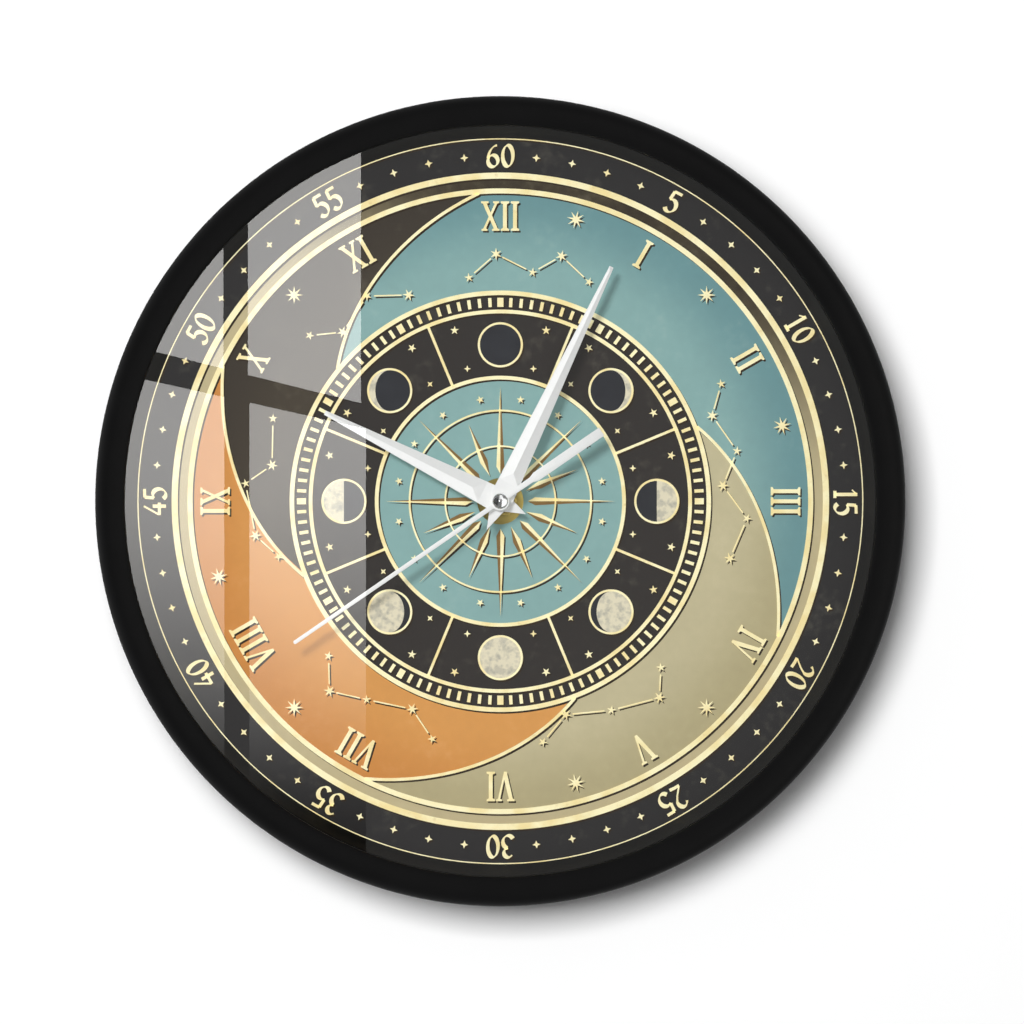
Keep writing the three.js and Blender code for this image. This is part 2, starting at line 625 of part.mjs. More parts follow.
// Direction of a tooth on the second gear so that it meshes with the first, which lies at the line's start
function meshed(firstTeeth, firstPhase, secondTeeth, line) {
  const firstPitch = (2 * Math.PI) / firstTeeth;
  const secondPitch = (2 * Math.PI) / secondTeeth;
  return line + Math.PI - secondPitch * (0.5 - (line - firstPhase) / firstPitch);
}

// A wheel: a toothed disc on its layer, with round openings in the web when it is large enough
function wheel(teeth, gearModule, phase, axis, rear, hub) {
  const root = gearModule * (teeth / 2 - DEDENDUM);
  const web = root - hub;
  const places = web < WEB_LEAST ? [] : pattern(WEB_HOLES, (root + hub) / 2, axis);
  const openings = places.map((place) => pattern(COARSE, web * WEB_OPEN, place));
  return plate(toothed(teeth, gearModule, phase, axis), rear, rear + WHEEL_THICKNESS, openings);
}

function pinion(teeth, gearModule, phase, axis, layer) {
  const outline = toothed(teeth, gearModule, phase, axis);
  return plate(outline, layer - PINION_OVERLAP, layer + WHEEL_THICKNESS + PINION_OVERLAP);
}

// Phases down the train, each from the gear that it meshes with
const lineTo = (first, second) => second.clone().sub(first).angle();
const intermediateLine = lineTo(centerAxis, intermediateAxis);
const intermediatePhase = meshed(INTERMEDIATE_TEETH[1], 0, INTERMEDIATE_TEETH[0], intermediateLine);
const rotorPhase = meshed(ROTOR_TEETH[1], 0, ROTOR_TEETH[0], lineTo(intermediateAxis, rotorAxis));
const thirdPhase = meshed(THIRD_TEETH[0], 0, THIRD_TEETH[1], lineTo(centerAxis, thirdAxis));
const centerPhase = meshed(CENTER_TEETH[0], 0, CENTER_TEETH[1], lineTo(thirdAxis, centerAxis));
const worksPhase = meshed(WORKS_TEETH[0], 0, WORKS_TEETH[1], lineTo(centerAxis, worksAxis));
const hourPhase = meshed(HOUR_TEETH[0], 0, HOUR_TEETH[1], lineTo(worksAxis, centerAxis));

const arborFoot = coverFront - PIVOT_DEPTH + SEAT_GAP;
const arborTop = caseInner + PIVOT_DEPTH - SEAT_GAP;
const pivotHub = ARBOR_RADIUS + HUB_WALL;
const freeHub = ARBOR_RADIUS + SHAFT_FIT + HUB_WALL;

function secondWheel() {
  return joined(
    wheel(INTERMEDIATE_TEETH[1], intermediateModule, 0, centerAxis, secondLayer, pivotHub),
    pinion(THIRD_TEETH[0], thirdModule, 0, centerAxis, intermediateLayer),
    rod(ARBOR_RADIUS, arborFoot, secondFront),
  );
}

function intermediateWheel() {
  const body = joined(
    wheel(ROTOR_TEETH[1], rotorModule, 0, intermediateAxis, intermediateLayer, freeHub),
    pinion(INTERMEDIATE_TEETH[0], intermediateModule, intermediatePhase, intermediateAxis, secondLayer),
    rod(
      intermediateModule * (INTERMEDIATE_TEETH[0] / 2 - DEDENDUM),
      secondLayer, intermediateLayer + WHEEL_THICKNESS, intermediateAxis,
    ),
  );
  return cut(body, rod(POST_RADIUS + PIVOT_FIT, coverFront, centerLayer, intermediateAxis));
}

function rotor() {
  return joined(
    pinion(ROTOR_TEETH[0], rotorModule, rotorPhase, rotorAxis, intermediateLayer),
    rod(ARBOR_RADIUS, arborFoot, arborTop, rotorAxis),
  );
}

const magnetRear = intermediateLayer + WHEEL_THICKNESS + LAYER_GAP;

function thirdWheel() {
  return joined(
    wheel(THIRD_TEETH[1], thirdModule, thirdPhase, thirdAxis, intermediateLayer, pivotHub),
    pinion(CENTER_TEETH[0], centerModule, 0, thirdAxis, centerLayer),
    rod(ARBOR_RADIUS, arborFoot, arborTop, thirdAxis),
  );
}

function centerWheel() {
  const body = joined(
    wheel(CENTER_TEETH[1], centerModule, centerPhase, centerAxis, centerLayer, freeHub),
    rod(freeHub, centerLayer - PINION_OVERLAP, centerLayer + WHEEL_THICKNESS),
  );
  return cut(body, rod(tubeBore, intermediateLayer, worksLayer));
}

// Clutch spring: a slotted disc that grips between center wheel and cannon pinion
function clutchSpring() {
  const slots = pattern(CLUTCH_SLOTS, tubeBore + HUB_WALL).map((start) => {
    const end = start.clone().setLength(CLUTCH_RADIUS + CLUTCH_SLOT);
    return plate(bar(start, end, CLUTCH_SLOT), centerLayer, worksLayer);
  });
  return cut(tube(CLUTCH_RADIUS, tubeBore, clutchRear, clutchRear + CLUTCH_THICKNESS), ...slots);
}

function cannonPinion() {
  const body = joined(
    pinion(WORKS_TEETH[0], worksModule, 0, centerAxis, worksLayer),
    rod(tubeRadius, worksLayer, minuteFront),
  );
  return cut(body, rod(tubeBore, centerLayer, minuteFront + SEAT_GAP));
}

const knobFront = movementRear - SEAT_GAP;
const knobRear = knobFront - KNOB_HEIGHT;

function worksWheel() {
  return joined(
    wheel(WORKS_TEETH[1], worksModule, worksPhase, worksAxis, worksLayer, pivotHub),
    pinion(HOUR_TEETH[0], hourModule, 0, worksAxis, hourLayer),
    rod(ARBOR_RADIUS, knobFront - KNOB_SOCKET + SEAT_GAP, arborTop, worksAxis),
  );
}

function settingKnob() {
  const outline = [];
  for (let step = 0; step < 2 * KNOB_RIDGES; step += 1) {
    const radius = step % 2 ? KNOB_RADIUS : KNOB_RADIUS - KNOB_RIDGE_DEPTH;
    outline.push(from(worksAxis, radius, (180 * step) / KNOB_RIDGES));
  }
  const socket = rod(pivotHole, knobFront - KNOB_SOCKET, movementRear, worksAxis);
  return cut(plate(outline, knobRear, knobFront), socket);
}

function hourWheel() {
  const body = joined(
    wheel(HOUR_TEETH[1], hourModule, hourPhase, centerAxis, hourLayer, pipeRadius + HUB_WALL),
    rod(pipeRadius, hourLayer, hourFront),
  );
  return cut(body, rod(pipeBore, worksLayer, hourFront + SEAT_GAP));
}

// Stator: one plate around the magnet, with two arms that reach under the ends of the coil's core
function stator() {
  const half = STATOR_ARM / 2;
  const left = rotorAxis.x - half;
  const [low, high] = coilEnds.map((end) => end.y);
  return cut(
    joined(
      rod(MAGNET_RADIUS + MAGNET_GAP + STATOR_WEB, statorRear, statorFront, rotorAxis),
      block(left, left + STATOR_ARM, low - half, high + half, statorRear, statorFront),
      block(left, coilX + half, low - half, low + half, statorRear, statorFront),
      block(left, coilX + half, high - half, high + half, statorRear, statorFront),
    ),
    rod(MAGNET_RADIUS + MAGNET_GAP, statorRear - SEAT_GAP, statorFront + SEAT_GAP, rotorAxis),
  );
}

// Coil: a flat core, a flanged spool over it and the winding between the flanges
const coreBore = [CORE_WIDTH + 2 * SEAT_GAP, CORE_THICKNESS + 2 * SEAT_GAP];
const spoolRadius = Math.hypot(...coreBore) / 2 + SPOOL_WALL;
const alongCoil = (radius, length) =>
  solid(new THREE.CylinderGeometry(radius, radius, length, ROUND).translate(coilX, coilY, coilZ));

function coilBobbin() {
  const end = (COIL_LENGTH - COIL_FLANGE_THICKNESS) / 2;
  const flange = alongCoil(COIL_FLANGE_RADIUS, COIL_FLANGE_THICKNESS);
  const flanges = [-end, end].map((along) => flange.translate([0, along, 0]));
  const [width, height] = coreBore;
  return cut(
    joined(alongCoil(spoolRadius, COIL_LENGTH), ...flanges),
    block(
      coilX - width / 2, coilX + width / 2, coilY - COIL_SPAN / 2, coilY + COIL_SPAN / 2,
      coilZ - height / 2, coilZ + height / 2,
    ),
  );
}

function coilWinding() {
  const length = COIL_LENGTH - 2 * (COIL_FLANGE_THICKNESS + SEAT_GAP);
  return cut(alongCoil(COIL_FLANGE_RADIUS, length), alongCoil(spoolRadius + SEAT_GAP, COIL_LENGTH));
}

function quartzCrystal() {
  const can = new THREE.CylinderGeometry(CRYSTAL_RADIUS, CRYSTAL_RADIUS, CRYSTAL_LENGTH, ROUND);
  const level = boardFront + SEAT_GAP + CRYSTAL_RADIUS;
  return solid(can.rotateZ(Math.PI / 2).translate(boardLeft + BOARD_LENGTH / 2, boardY, level));
}

// Battery: a dry cell with a nub at its positive end, lying along x
function battery() {
  const half = BATTERY_LENGTH / 2;
  const shoulder = half - BATTERY_NUB_LENGTH;
  const profile = [
    [0, -half],
    [BATTERY_RADIUS - BATTERY_EDGE, -half],
    [BATTERY_RADIUS, -half + BATTERY_EDGE],
    [BATTERY_RADIUS, shoulder - BATTERY_EDGE],
    [BATTERY_RADIUS - BATTERY_EDGE, shoulder],
    [BATTERY_NUB_RADIUS, shoulder],
    [BATTERY_NUB_RADIUS, half],
    [0, half],
  ];
  const points = profile.map(([radius, along]) => new THREE.Vector2(radius, along));
  const cell = new THREE.LatheGeometry(points, ROUND).rotateZ(-Math.PI / 2);
  return solid(cell.translate(0, batteryY, batteryZ));
}

const contactWall = caseInnerHalf - SEAT_GAP;

function contactPositive() {
  return block(
    contactWall - CONTACT_THICKNESS, contactWall, batteryY - CONTACT_WIDTH / 2, batteryY + CONTACT_WIDTH / 2,
    batteryZ - CONTACT_WIDTH / 2, caseInner - SEAT_GAP,
  );
}

// Negative contact: a leaf bowed towards the battery
function contactNegative() {
  const half = CONTACT_WIDTH / 2;
  const bow = new THREE.QuadraticBezierCurve(
    new THREE.Vector2(-contactWall, batteryY - half),
    new THREE.Vector2(-contactWall + 2 * CONTACT_BOW, batteryY),
    new THREE.Vector2(-contactWall, batteryY + half),
  );
  const rear = bow.getPoints(COARSE);
  const front = rear.map((point) => point.clone().add(new THREE.Vector2(CONTACT_THICKNESS, 0)));
  return plate([...rear, ...front.reverse()], batteryZ - half, caseInner - SEAT_GAP);
}

// A hand with a flat hub and a ridged blade, pointing up the y axis until it is turned to its angle
function ridgedHand({ length, tail, width, tip, bore, rear, angle }) {
  const shoulder = width / 2;
  const end = tip / 2;
  const sheetFront = rear + HAND_SHEET;
  const outline = [
    new THREE.Vector2(0, -tail),
    new THREE.Vector2(shoulder, HAND_SHOULDER),
    new THREE.Vector2(end, length),
    new THREE.Vector2(-end, length),
    new THREE.Vector2(-shoulder, HAND_SHOULDER),
  ];
  const share = (HAND_FLAT - HAND_SHOULDER) / (length - HAND_SHOULDER);
  const start = THREE.MathUtils.lerp(shoulder, end, share);
  const ridge = sheetFront + HAND_RIDGE;
  const blade = new ConvexGeometry([
    new THREE.Vector3(-start, HAND_FLAT, sheetFront),
    new THREE.Vector3(start, HAND_FLAT, sheetFront),
    new THREE.Vector3(0, HAND_FLAT + width / 2, ridge),
    new THREE.Vector3(0, length - tip, ridge),
    new THREE.Vector3(end, length, sheetFront),
    new THREE.Vector3(-end, length, sheetFront),
  ]);
  const eye = rod(bore, rear - SEAT_GAP, ridge);
  return cut(joined(plate(outline, rear, sheetFront), solid(blade)), eye).rotate([0, 0, -angle]);
}

// Second hand: a slim rod with a rounded tip, and on its tail a wider counterweight with a square end
function secondHand() {
  const root = SECOND_ROOT / 2;
  const end = SECOND_TIP / 2;
  const neck = SECOND_NECK / 2;
  const tail = SECOND_TAIL_WIDTH / 2;
  const flareEnd = SECOND_NECK_END + SECOND_FLARE;
  const tip = new THREE.EllipseCurve(0, SECOND_LENGTH - end, end, end, 0, Math.PI);
  const outline = [
    new THREE.Vector2(-tail, -SECOND_TAIL),
    new THREE.Vector2(tail, -SECOND_TAIL),
    new THREE.Vector2(tail, -flareEnd),
    new THREE.Vector2(neck, -SECOND_NECK_END),
    new THREE.Vector2(root, 0),
    ...tip.getPoints(2 * ARC_STEPS),
    new THREE.Vector2(-root, 0),
    new THREE.Vector2(-neck, -SECOND_NECK_END),
    new THREE.Vector2(-tail, -flareEnd),
  ];
  const hub = rod(SECOND_HUB_RADIUS, secondRear, secondFront);
  const eye = rod(pivotHole, secondRear - SEAT_GAP, secondFront + SEAT_GAP);
  return cut(joined(plate(outline, secondRear, secondFront), hub), eye).rotate([0, 0, -SECOND_ANGLE]);
}

function hubCap() {
  const dome = new THREE.EllipseCurve(0, capRear, CAP_RADIUS, CAP_HEIGHT, 0, Math.PI / 2);
  const profile = dome.getPoints(ARC_STEPS).map((point) => point.toArray());
  profile[profile.length - 1][0] = 0;
  return turned([[0, capRear], ...profile], ROUND);
}

const spacerProfile = [
  [stackRadius, spacerRear],
  [stackRadius, glassRear - SEAT_GAP],
  [stackRadius - SPACER_FRONT_WIDTH, glassRear - SEAT_GAP],
  [stackRadius - SPACER_REAR_WIDTH, spacerRear],
  [stackRadius, spacerRear],
];

piece("frame_rim", frameRim(), BLACK_RIM);
piece("glass_lens", rod(stackRadius, glassRear, glassFront), CLEAR);
piece("spacer_ring", turned(spacerProfile, FINE), CHARCOAL);
piece("dial_plate", tube(stackRadius, bushingHole, dialRear, dialFront), PRINT);
piece(
  "retaining_ring",
  tube(stackRadius, retainerInner, backFront + SEAT_GAP, dialRear - SEAT_GAP),
  CHARCOAL,
);
piece("back_plate", backPlate(), MOVEMENT_BLACK);
pattern(BOSS_COUNT, bossCircle).forEach((place, index) => {
  piece(`back_screw_${index + 1}`, screw(place, backRear, SCREW_LENGTH, 1), STEEL);
});

piece("hanger_plate", hangerPlate(), STEEL);
["hanger_screw_left", "hanger_screw_right"].forEach((name, index) => {
  piece(name, screw(hangerScrews[index], hangerFront, HANGER_SCREW_LENGTH, -1), STEEL);
});

piece("movement_case", movementCase(), MOVEMENT_BLACK);
piece("movement_cover", movementCover(), MOVEMENT_BLACK);
piece("threaded_bushing", threadedBushing(), BRASS);
piece("rubber_washer", tube(bushingHole + RUBBER_WIDTH, bushingHole, rubberRear, rubberFront), RUBBER);
piece("dial_washer", tube(bushingHole + WASHER_WIDTH, bushingHole, washerRear, washerFront), BRASS);
piece("hex_nut", hexNut(), BRASS);

piece("battery", battery(), CELL_WRAP);
piece("contact_positive", contactPositive(), STEEL);
piece("contact_negative", contactNegative(), STEEL);
piece(
  "circuit_board",
  block(boardLeft, boardLeft + BOARD_LENGTH, boardTop - BOARD_WIDTH, boardTop, boardRear, boardFront),
  BOARD_BROWN,
);
piece("quartz_crystal", quartzCrystal(), STEEL);
piece("stator", stator(), STEEL);
piece(
  "coil_core",
  block(
    coilX - CORE_WIDTH / 2, coilX + CORE_WIDTH / 2,
    coilEnds[0].y - STATOR_ARM / 2, coilEnds[1].y + STATOR_ARM / 2, coreRear, coreFront,
  ),
  STEEL,
);
piece("coil_bobbin", coilBobbin(), WHITE_NYLON);
piece("coil_winding", coilWinding(), COPPER);

piece("rotor", rotor(), WHITE_NYLON);
piece(
  "rotor_magnet",
  tube(MAGNET_RADIUS, pivotHole, magnetRear, magnetRear + MAGNET_HEIGHT, rotorAxis),
  MAGNET_GREY,
);
piece("intermediate_wheel", intermediateWheel(), WHITE_NYLON);
piece("second_wheel", secondWheel(), WHITE_NYLON);
piece("third_wheel", thirdWheel(), WHITE_NYLON);
piece("center_wheel", centerWheel(), WHITE_NYLON);
piece("clutch_spring", clutchSpring(), BRASS);
piece("cannon_pinion", cannonPinion(), BRASS);
piece("works_wheel", worksWheel(), WHITE_NYLON);
piece("setting_knob", settingKnob(), RED_NYLON);
piece("hour_wheel", hourWheel(), WHITE_NYLON);

piece(
  "hour_hand",
  ridgedHand({
    length: HOUR_LENGTH, tail: HOUR_TAIL, width: HOUR_WIDTH, tip: HOUR_TIP,
    bore: pipeRadius + SHAFT_FIT, rear: hourRear, angle: HOUR_ANGLE,
  }),
  WHITE_LACQUER,
);
piece(
  "minute_hand",
  ridgedHand({
    length: MINUTE_LENGTH, tail: MINUTE_TAIL, width: MINUTE_WIDTH, tip: MINUTE_TIP,
    bore: tubeRadius + SHAFT_FIT, rear: minuteRear, angle: MINUTE_ANGLE,
  }),
  WHITE_LACQUER,
);
piece("second_hand", secondHand(), WHITE_LACQUER);
piece("hub_cap", hubCap(), CHROME);

export default clock;
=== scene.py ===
# %% [markdown]
# # A round wall clock with an astronomical dial
#
# The clock is a shallow drum. A black moulded rim holds a flat glass, a dark spacer, a printed dial and a
# back plate, and a small quartz movement behind the dial turns three white hands.
#
# The packed solids give the places and the main sizes, so this lesson only dresses them. It makes finer
# meshes for what shows, gives every piece a finish made of nodes, and sets up a wall, lamps and a camera.

# %% Load the frame
from math import acos, atan2, cos, degrees, hypot, pi, radians, sin, tau

import bmesh
import bpy
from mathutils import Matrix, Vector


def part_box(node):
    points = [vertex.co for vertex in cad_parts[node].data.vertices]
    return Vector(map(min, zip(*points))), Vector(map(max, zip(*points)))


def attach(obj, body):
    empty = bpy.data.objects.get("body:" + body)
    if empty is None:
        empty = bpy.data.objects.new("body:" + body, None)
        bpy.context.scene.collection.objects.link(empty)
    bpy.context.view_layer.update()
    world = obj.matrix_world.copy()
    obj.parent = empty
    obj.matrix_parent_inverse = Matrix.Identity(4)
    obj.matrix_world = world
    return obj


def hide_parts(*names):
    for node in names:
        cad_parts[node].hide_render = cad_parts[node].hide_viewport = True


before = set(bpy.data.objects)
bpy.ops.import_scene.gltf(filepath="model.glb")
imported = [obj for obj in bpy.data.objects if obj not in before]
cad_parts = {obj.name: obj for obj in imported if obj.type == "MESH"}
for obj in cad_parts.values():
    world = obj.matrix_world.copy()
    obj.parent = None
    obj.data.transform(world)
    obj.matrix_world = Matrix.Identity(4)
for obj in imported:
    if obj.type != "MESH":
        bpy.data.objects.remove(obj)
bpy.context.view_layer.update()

# %% [markdown]
# ## The dial's own frame
#
# A clock is easiest to draw as one sees it, with x to the right, y up and z from the wall towards the
# viewer, in millimetres. One function turns such a point upright into Blender's metres, and others read
# from the solids where a piece lies.

# %% Points and levels
MM = 0.001


def upright(point):
    x, y, z = point
    return (x * MM, -z * MM, y * MM)


def levels(node):
    """Rear and front level of a solid, in millimetres from the wall."""
    low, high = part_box(node)
    return -high.y / MM, -low.y / MM


def reach(node):
    """How far a solid goes to the right of the hands' axis."""
    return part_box(node)[1].x / MM


def middle(node):
    """The centre of a solid's box, in the dial's frame."""
    low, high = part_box(node)
    x, y, z = ((a + b) / 2 / MM for a, b in zip(low, high))
    return x, z, -y


dial_rear, dial_front = levels("dial_plate")
print("the dial lies from", round(dial_rear, 2), "to", round(dial_front, 2), "mm in front of the wall")

# %% [markdown]
# ## A piece in the making
#
# Almost everything on a clock is turned, stamped or moulded, so three ways to make a mesh are enough. A
# lathe turns a profile about an axis. A prism raises a flat outline, and a band the strip between two. A
# sheet does the same for an outline with holes, and takes its soft edges from a filled curve, because a
# curve rounds the edge of a hole as neatly as the outer one. Each piece then rides on a body of the frame,
# which is what makes it move.

# %% Objects and filled curves
def put(name, data):
    made = bpy.data.objects.new(name, data)
    bpy.context.scene.collection.objects.link(made)
    return made


def new_object(name, points, faces):
    mesh = bpy.data.meshes.new(name)
    mesh.from_pydata(points, [], faces)
    return put(name, mesh)


def face_outwards(mesh):
    built = bmesh.new()
    built.from_mesh(mesh)
    bmesh.ops.recalc_face_normals(built, faces=built.faces)
    built.to_mesh(mesh)
    built.free()


def filled(loops, rear, front, edge):
    """Points and faces of a plate with holes and rounded edges."""
    curve = bpy.data.curves.new("outline", "CURVE")
    curve.dimensions = "2D"
    curve.fill_mode = "BOTH"
    curve.extrude = (front - rear) / 2 - edge
    curve.bevel_depth = edge
    curve.bevel_resolution = 2
    curve.offset = -edge
    for loop in loops:
        spline = curve.splines.new("POLY")
        spline.points.add(len(loop) - 1)
        spline.use_cyclic_u = True
        for point, (x, y) in zip(spline.points, loop):
            point.co = (x, y, 0, 1)
    holder = bpy.data.objects.new("outline", curve)
    mesh = bpy.data.meshes.new_from_object(holder)
    built = bmesh.new()
    built.from_mesh(mesh)
    bmesh.ops.remove_doubles(built, verts=built.verts, dist=1e-3)
    points = [(vert.co.x, vert.co.y, vert.co.z + (rear + front) / 2) for vert in built.verts]
    built.verts.index_update()
    faces = [[vert.index for vert in face.verts] for face in built.faces]
    built.free()
    bpy.data.objects.remove(holder)
    bpy.data.curves.remove(curve)
    bpy.data.meshes.remove(mesh)
    return points, faces


square = [(-5, -5), (5, -5), (5, 5), (-5, 5)]
print("a square plate with soft edges has", len(filled([square], 0, 2, 0.2)[1]), "faces")


# %% Lathe, prism, band and sheet
class Piece:
    """Points and faces in the dial's frame, in millimetres, until make() turns them into an object."""

    def __init__(self):
        self.points = []
        self.faces = []

    def add(self, points, faces):
        start = len(self.points)
        self.points += points
        self.faces += [[start + index for index in face] for face in faces]
        return self

    def lathe(self, profile, steps, centre=(0, 0)):
        """Turns (radius, level) points; a profile that stays off the axis closes into a ring."""
        points, rows, faces = [], [], []
        for radius, level in profile:
            count = steps if radius else 1
            rows.append(range(len(points), len(points) + count))
            for step in range(count):
                angle = tau * step / steps
                points.append((centre[0] + radius * cos(angle), centre[1] + radius * sin(angle), level))
        following = rows[1:] + rows[:1] if profile[0][0] else rows[1:]
        for row, after in zip(rows, following):
            for step in range(steps):
                turn = (step + 1) % steps
                places = ((row, step), (row, turn), (after, turn), (after, step))
                corners = [ring[place % len(ring)] for ring, place in places]
                faces.append(list(dict.fromkeys(corners)))
        return self.add(points, faces)

    def prism(self, loop, rear, front):
        count = len(loop)
        points = [(x, y, level) for level in (rear, front) for x, y in loop]
        sides = [[i, (i + 1) % count, count + (i + 1) % count, count + i] for i in range(count)]
        return self.add(points, [list(range(count))[::-1], list(range(count, 2 * count)), *sides])

    def band(self, outer, inner, rear, front):
        """A closed strip between two loops with as many points each."""
        count = len(outer)
        points = [(x, y, level) for level in (rear, front) for loop in (outer, inner) for x, y in loop]
        faces = []
        for i in range(count):
            j = (i + 1) % count
            for a, b in ((0, 1), (1, 3), (3, 2), (2, 0)):
                faces.append([a * count + i, a * count + j, b * count + j, b * count + i])
        return self.add(points, faces)

    def sheet(self, loops, rear, front, edge):
        return self.add(*filled(loops, rear, front, edge))

    def moved(self, move):
        self.points = [move(*point) for point in self.points]
        return self

    def make(self, name, finish, replaces=(), body="case", slot=None, sharp=35):
        """The finished object; its slot argument is not used."""
        made = new_object(name, [upright(point) for point in self.points], self.faces)
        face_outwards(made.data)
        made.data.shade_smooth()
        made.data.set_sharp_from_angle(angle=radians(sharp))
        made.data.materials.append(finish.material)
        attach(made, body)
        if replaces:
            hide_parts(*replaces)
        print(f"{name}: {len(made.data.polygons)} faces on {body}")
        return made


print("a square bar has", len(Piece().prism(square, 0, 9).faces), "faces")

# %% [markdown]
# ## Outlines
#
# A clock is read clockwise from twelve, so places on the dial are given as a radius and a turn in degrees.
# Circles, rounded rectangles, stars and strokes are all plain lists of points.

# %% Circles, rectangles and stars
def polar(radius, turn):
    return (radius * sin(radians(turn)), radius * cos(radians(turn)))


def shifted(loop, by):
    return [(x + by[0], y + by[1]) for x, y in loop]


def turned(loop, turn):
    """A loop turned clockwise about the hands' axis."""
    c, s = cos(radians(turn)), sin(radians(turn))
    return [(x * c + y * s, y * c - x * s) for x, y in loop]


def circle(radius, centre=(0, 0), steps=96):
    return shifted([polar(radius, 360 * i / steps) for i in range(steps)], centre)


def arc(centre, across, along, start, end, steps):
    """Part of an ellipse, with its angles counted anticlockwise from the right."""
    angles = [radians(start + (end - start) * i / steps) for i in range(steps + 1)]
    return [(centre[0] + across * cos(angle), centre[1] + along * sin(angle)) for angle in angles]


def rounded(x0, x1, y0, y1, radius):
    right, left, top, bottom = x1 - radius, x0 + radius, y1 - radius, y0 + radius
    loop = []
    for i, centre in enumerate([(right, top), (left, top), (left, bottom), (right, bottom)]):
        loop += arc(centre, radius, radius, 90 * i, 90 * i + 90, 8)
    return loop


def star(centre, outer, inner, count, turn=0):
    radii = [outer, inner] * count
    return shifted([polar(radius, turn + 180 * i / count) for i, radius in enumerate(radii)], centre)


print("a five-pointed star has", len(star((0, 0), 2, 1, 5)), "points")

# %% Strokes
def ribbon(path, width, closed=False):
    """Both sides of a line, as two lists; width is a number or a function of the line's direction."""
    left, right = [], []
    last = len(path) - 1
    for i, (x, y) in enumerate(path):
        before = path[i - 1] if i or closed else path[0]
        after = path[(i + 1) % len(path)] if i < last or closed else path[last]
        dx, dy = after[0] - before[0], after[1] - before[1]
        length = hypot(dx, dy)
        half = (width(atan2(dy, dx)) if callable(width) else width) / 2
        left.append((x - dy / length * half, y + dx / length * half))
        right.append((x + dy / length * half, y - dx / length * half))
    return left, right


def stroke(path, width):
    left, right = ribbon(path, width)
    return left + right[::-1]


print("a straight stroke has", len(stroke([(0, 0), (0, 9)], 1)), "corners")

# %% [markdown]
# ## Finishes as expressions
#
# A finish is a Principled shader with something varying in front of it. Written as nodes and links that
# takes many lines, so one small class wraps a socket and lets Python's operators add the Math nodes. All
# other nodes come from one method, which takes the node's type, its settings and its sockets.

# %% A socket that does arithmetic
def both(operation):
    """An operator's method and its reflected form, each of which adds one Math node."""
    return (
        lambda self, other: self.math(operation, self, other),
        lambda self, other: self.math(operation, other, self),
    )


class Wire:
    """An output of a node, to reckon with."""

    def __init__(self, board, socket):
        self.board = board
        self.socket = socket

    def math(self, operation, *values):
        return self.board.node("ShaderNodeMath", {"operation": operation}, dict(enumerate(values)))

    __add__, __radd__ = both("ADD")
    __sub__, __rsub__ = both("SUBTRACT")
    __mul__, __rmul__ = both("MULTIPLY")
    __truediv__, __rtruediv__ = both("DIVIDE")
    __pow__, __rpow__ = both("POWER")
    __mod__, __rmod__ = both("FLOORED_MODULO")
    __gt__, __lt__ = both("GREATER_THAN")


print("reflected forms:", ", ".join(name for name in vars(Wire) if name.startswith("__r")))


# %% A board of nodes
class Board:
    """The nodes of one material or world."""

    def __init__(self, tree):
        self.tree = tree

    def node(self, kind, settings=None, sockets=None, out=0):
        made = self.tree.nodes.new(kind)
        for key, value in (settings or {}).items():
            if key == "stops":
                self.stops(made.color_ramp, value)
            else:
                setattr(made, key, value)
        for key, value in (sockets or {}).items():
            self.feed(made.inputs[key], value)
        return Wire(self, made.outputs[out])

    def stops(self, ramp, stops):
        """Colours that change at once where the value passes the next stop."""
        ramp.interpolation = "CONSTANT"
        for position, _ in stops[2:]:
            ramp.elements.new(position)
        for element, (position, colour) in zip(ramp.elements, stops):
            element.position = position
            element.color = (*colour, 1)

    def feed(self, socket, value):
        if isinstance(value, Wire):
            self.tree.links.new(value.socket, socket)
        elif isinstance(value, tuple) and len(value) == 3 and socket.type == "RGBA":
            socket.default_value = (*value, 1)
        else:
            socket.default_value = value

    def mix(self, factor, first, second):
        return self.node("ShaderNodeMix", {"data_type": "RGBA"}, {0: factor, 6: first, 7: second}, out=2)


class Finish(Board):
    """A material around one Principled shader, with textures in the object's own coordinates."""

    def __init__(self, name, **constants):
        self.name = name
        self.material = bpy.data.materials.new(name)
        self.material.use_nodes = True
        super().__init__(self.material.node_tree)
        self.shader = self.tree.nodes["Principled BSDF"]
        self.point = self.node("ShaderNodeTexCoord", out="Object")
        self.wire(**constants)

    def wire(self, **sockets):
        """Feeds the shader's sockets, with _ for a space in their names."""
        for key, value in sockets.items():
            self.feed(self.shader.inputs[key.replace("_", " ")], value)
        return self

    def surface(self, shader):
        """Shows this shader in place of the Principled one."""
        self.feed(self.tree.nodes["Material Output"].inputs["Surface"], shader)
        return self

    def noise(self, size, detail, point=None):
        """Cloudy values from 0 to 1, with patches of about this size in millimetres."""
        sockets = {"Vector": point or self.point, "Scale": 1 / (size * MM), "Detail": detail}
        return self.node("ShaderNodeTexNoise", None, sockets)

    def bump(self, height, depth):
        """Relief of this depth in millimetres on the shader's normal."""
        return self.wire(Normal=self.node(
            "ShaderNodeBump", None, {"Strength": 1.0, "Distance": depth * MM, "Height": height}
        ))

    def axes(self):
        """x to the right, y up and z to the viewer, in millimetres."""
        split = self.node("ShaderNodeSeparateXYZ", None, {0: self.point}).socket.node.outputs
        return Wire(self, split[0]) / MM, Wire(self, split[2]) / MM, Wire(self, split[1]) / -MM

    def bands(self, value, stops):
        return self.node("ShaderNodeValToRGB", {"stops": stops}, {0: value})

    def between(self, value, low, high):
        """0 below low and 1 above high, with a smooth step from one to the other."""
        settings = {"interpolation_type": "SMOOTHSTEP"}
        return self.node("ShaderNodeMapRange", settings, {0: value, 1: low, 2: high})


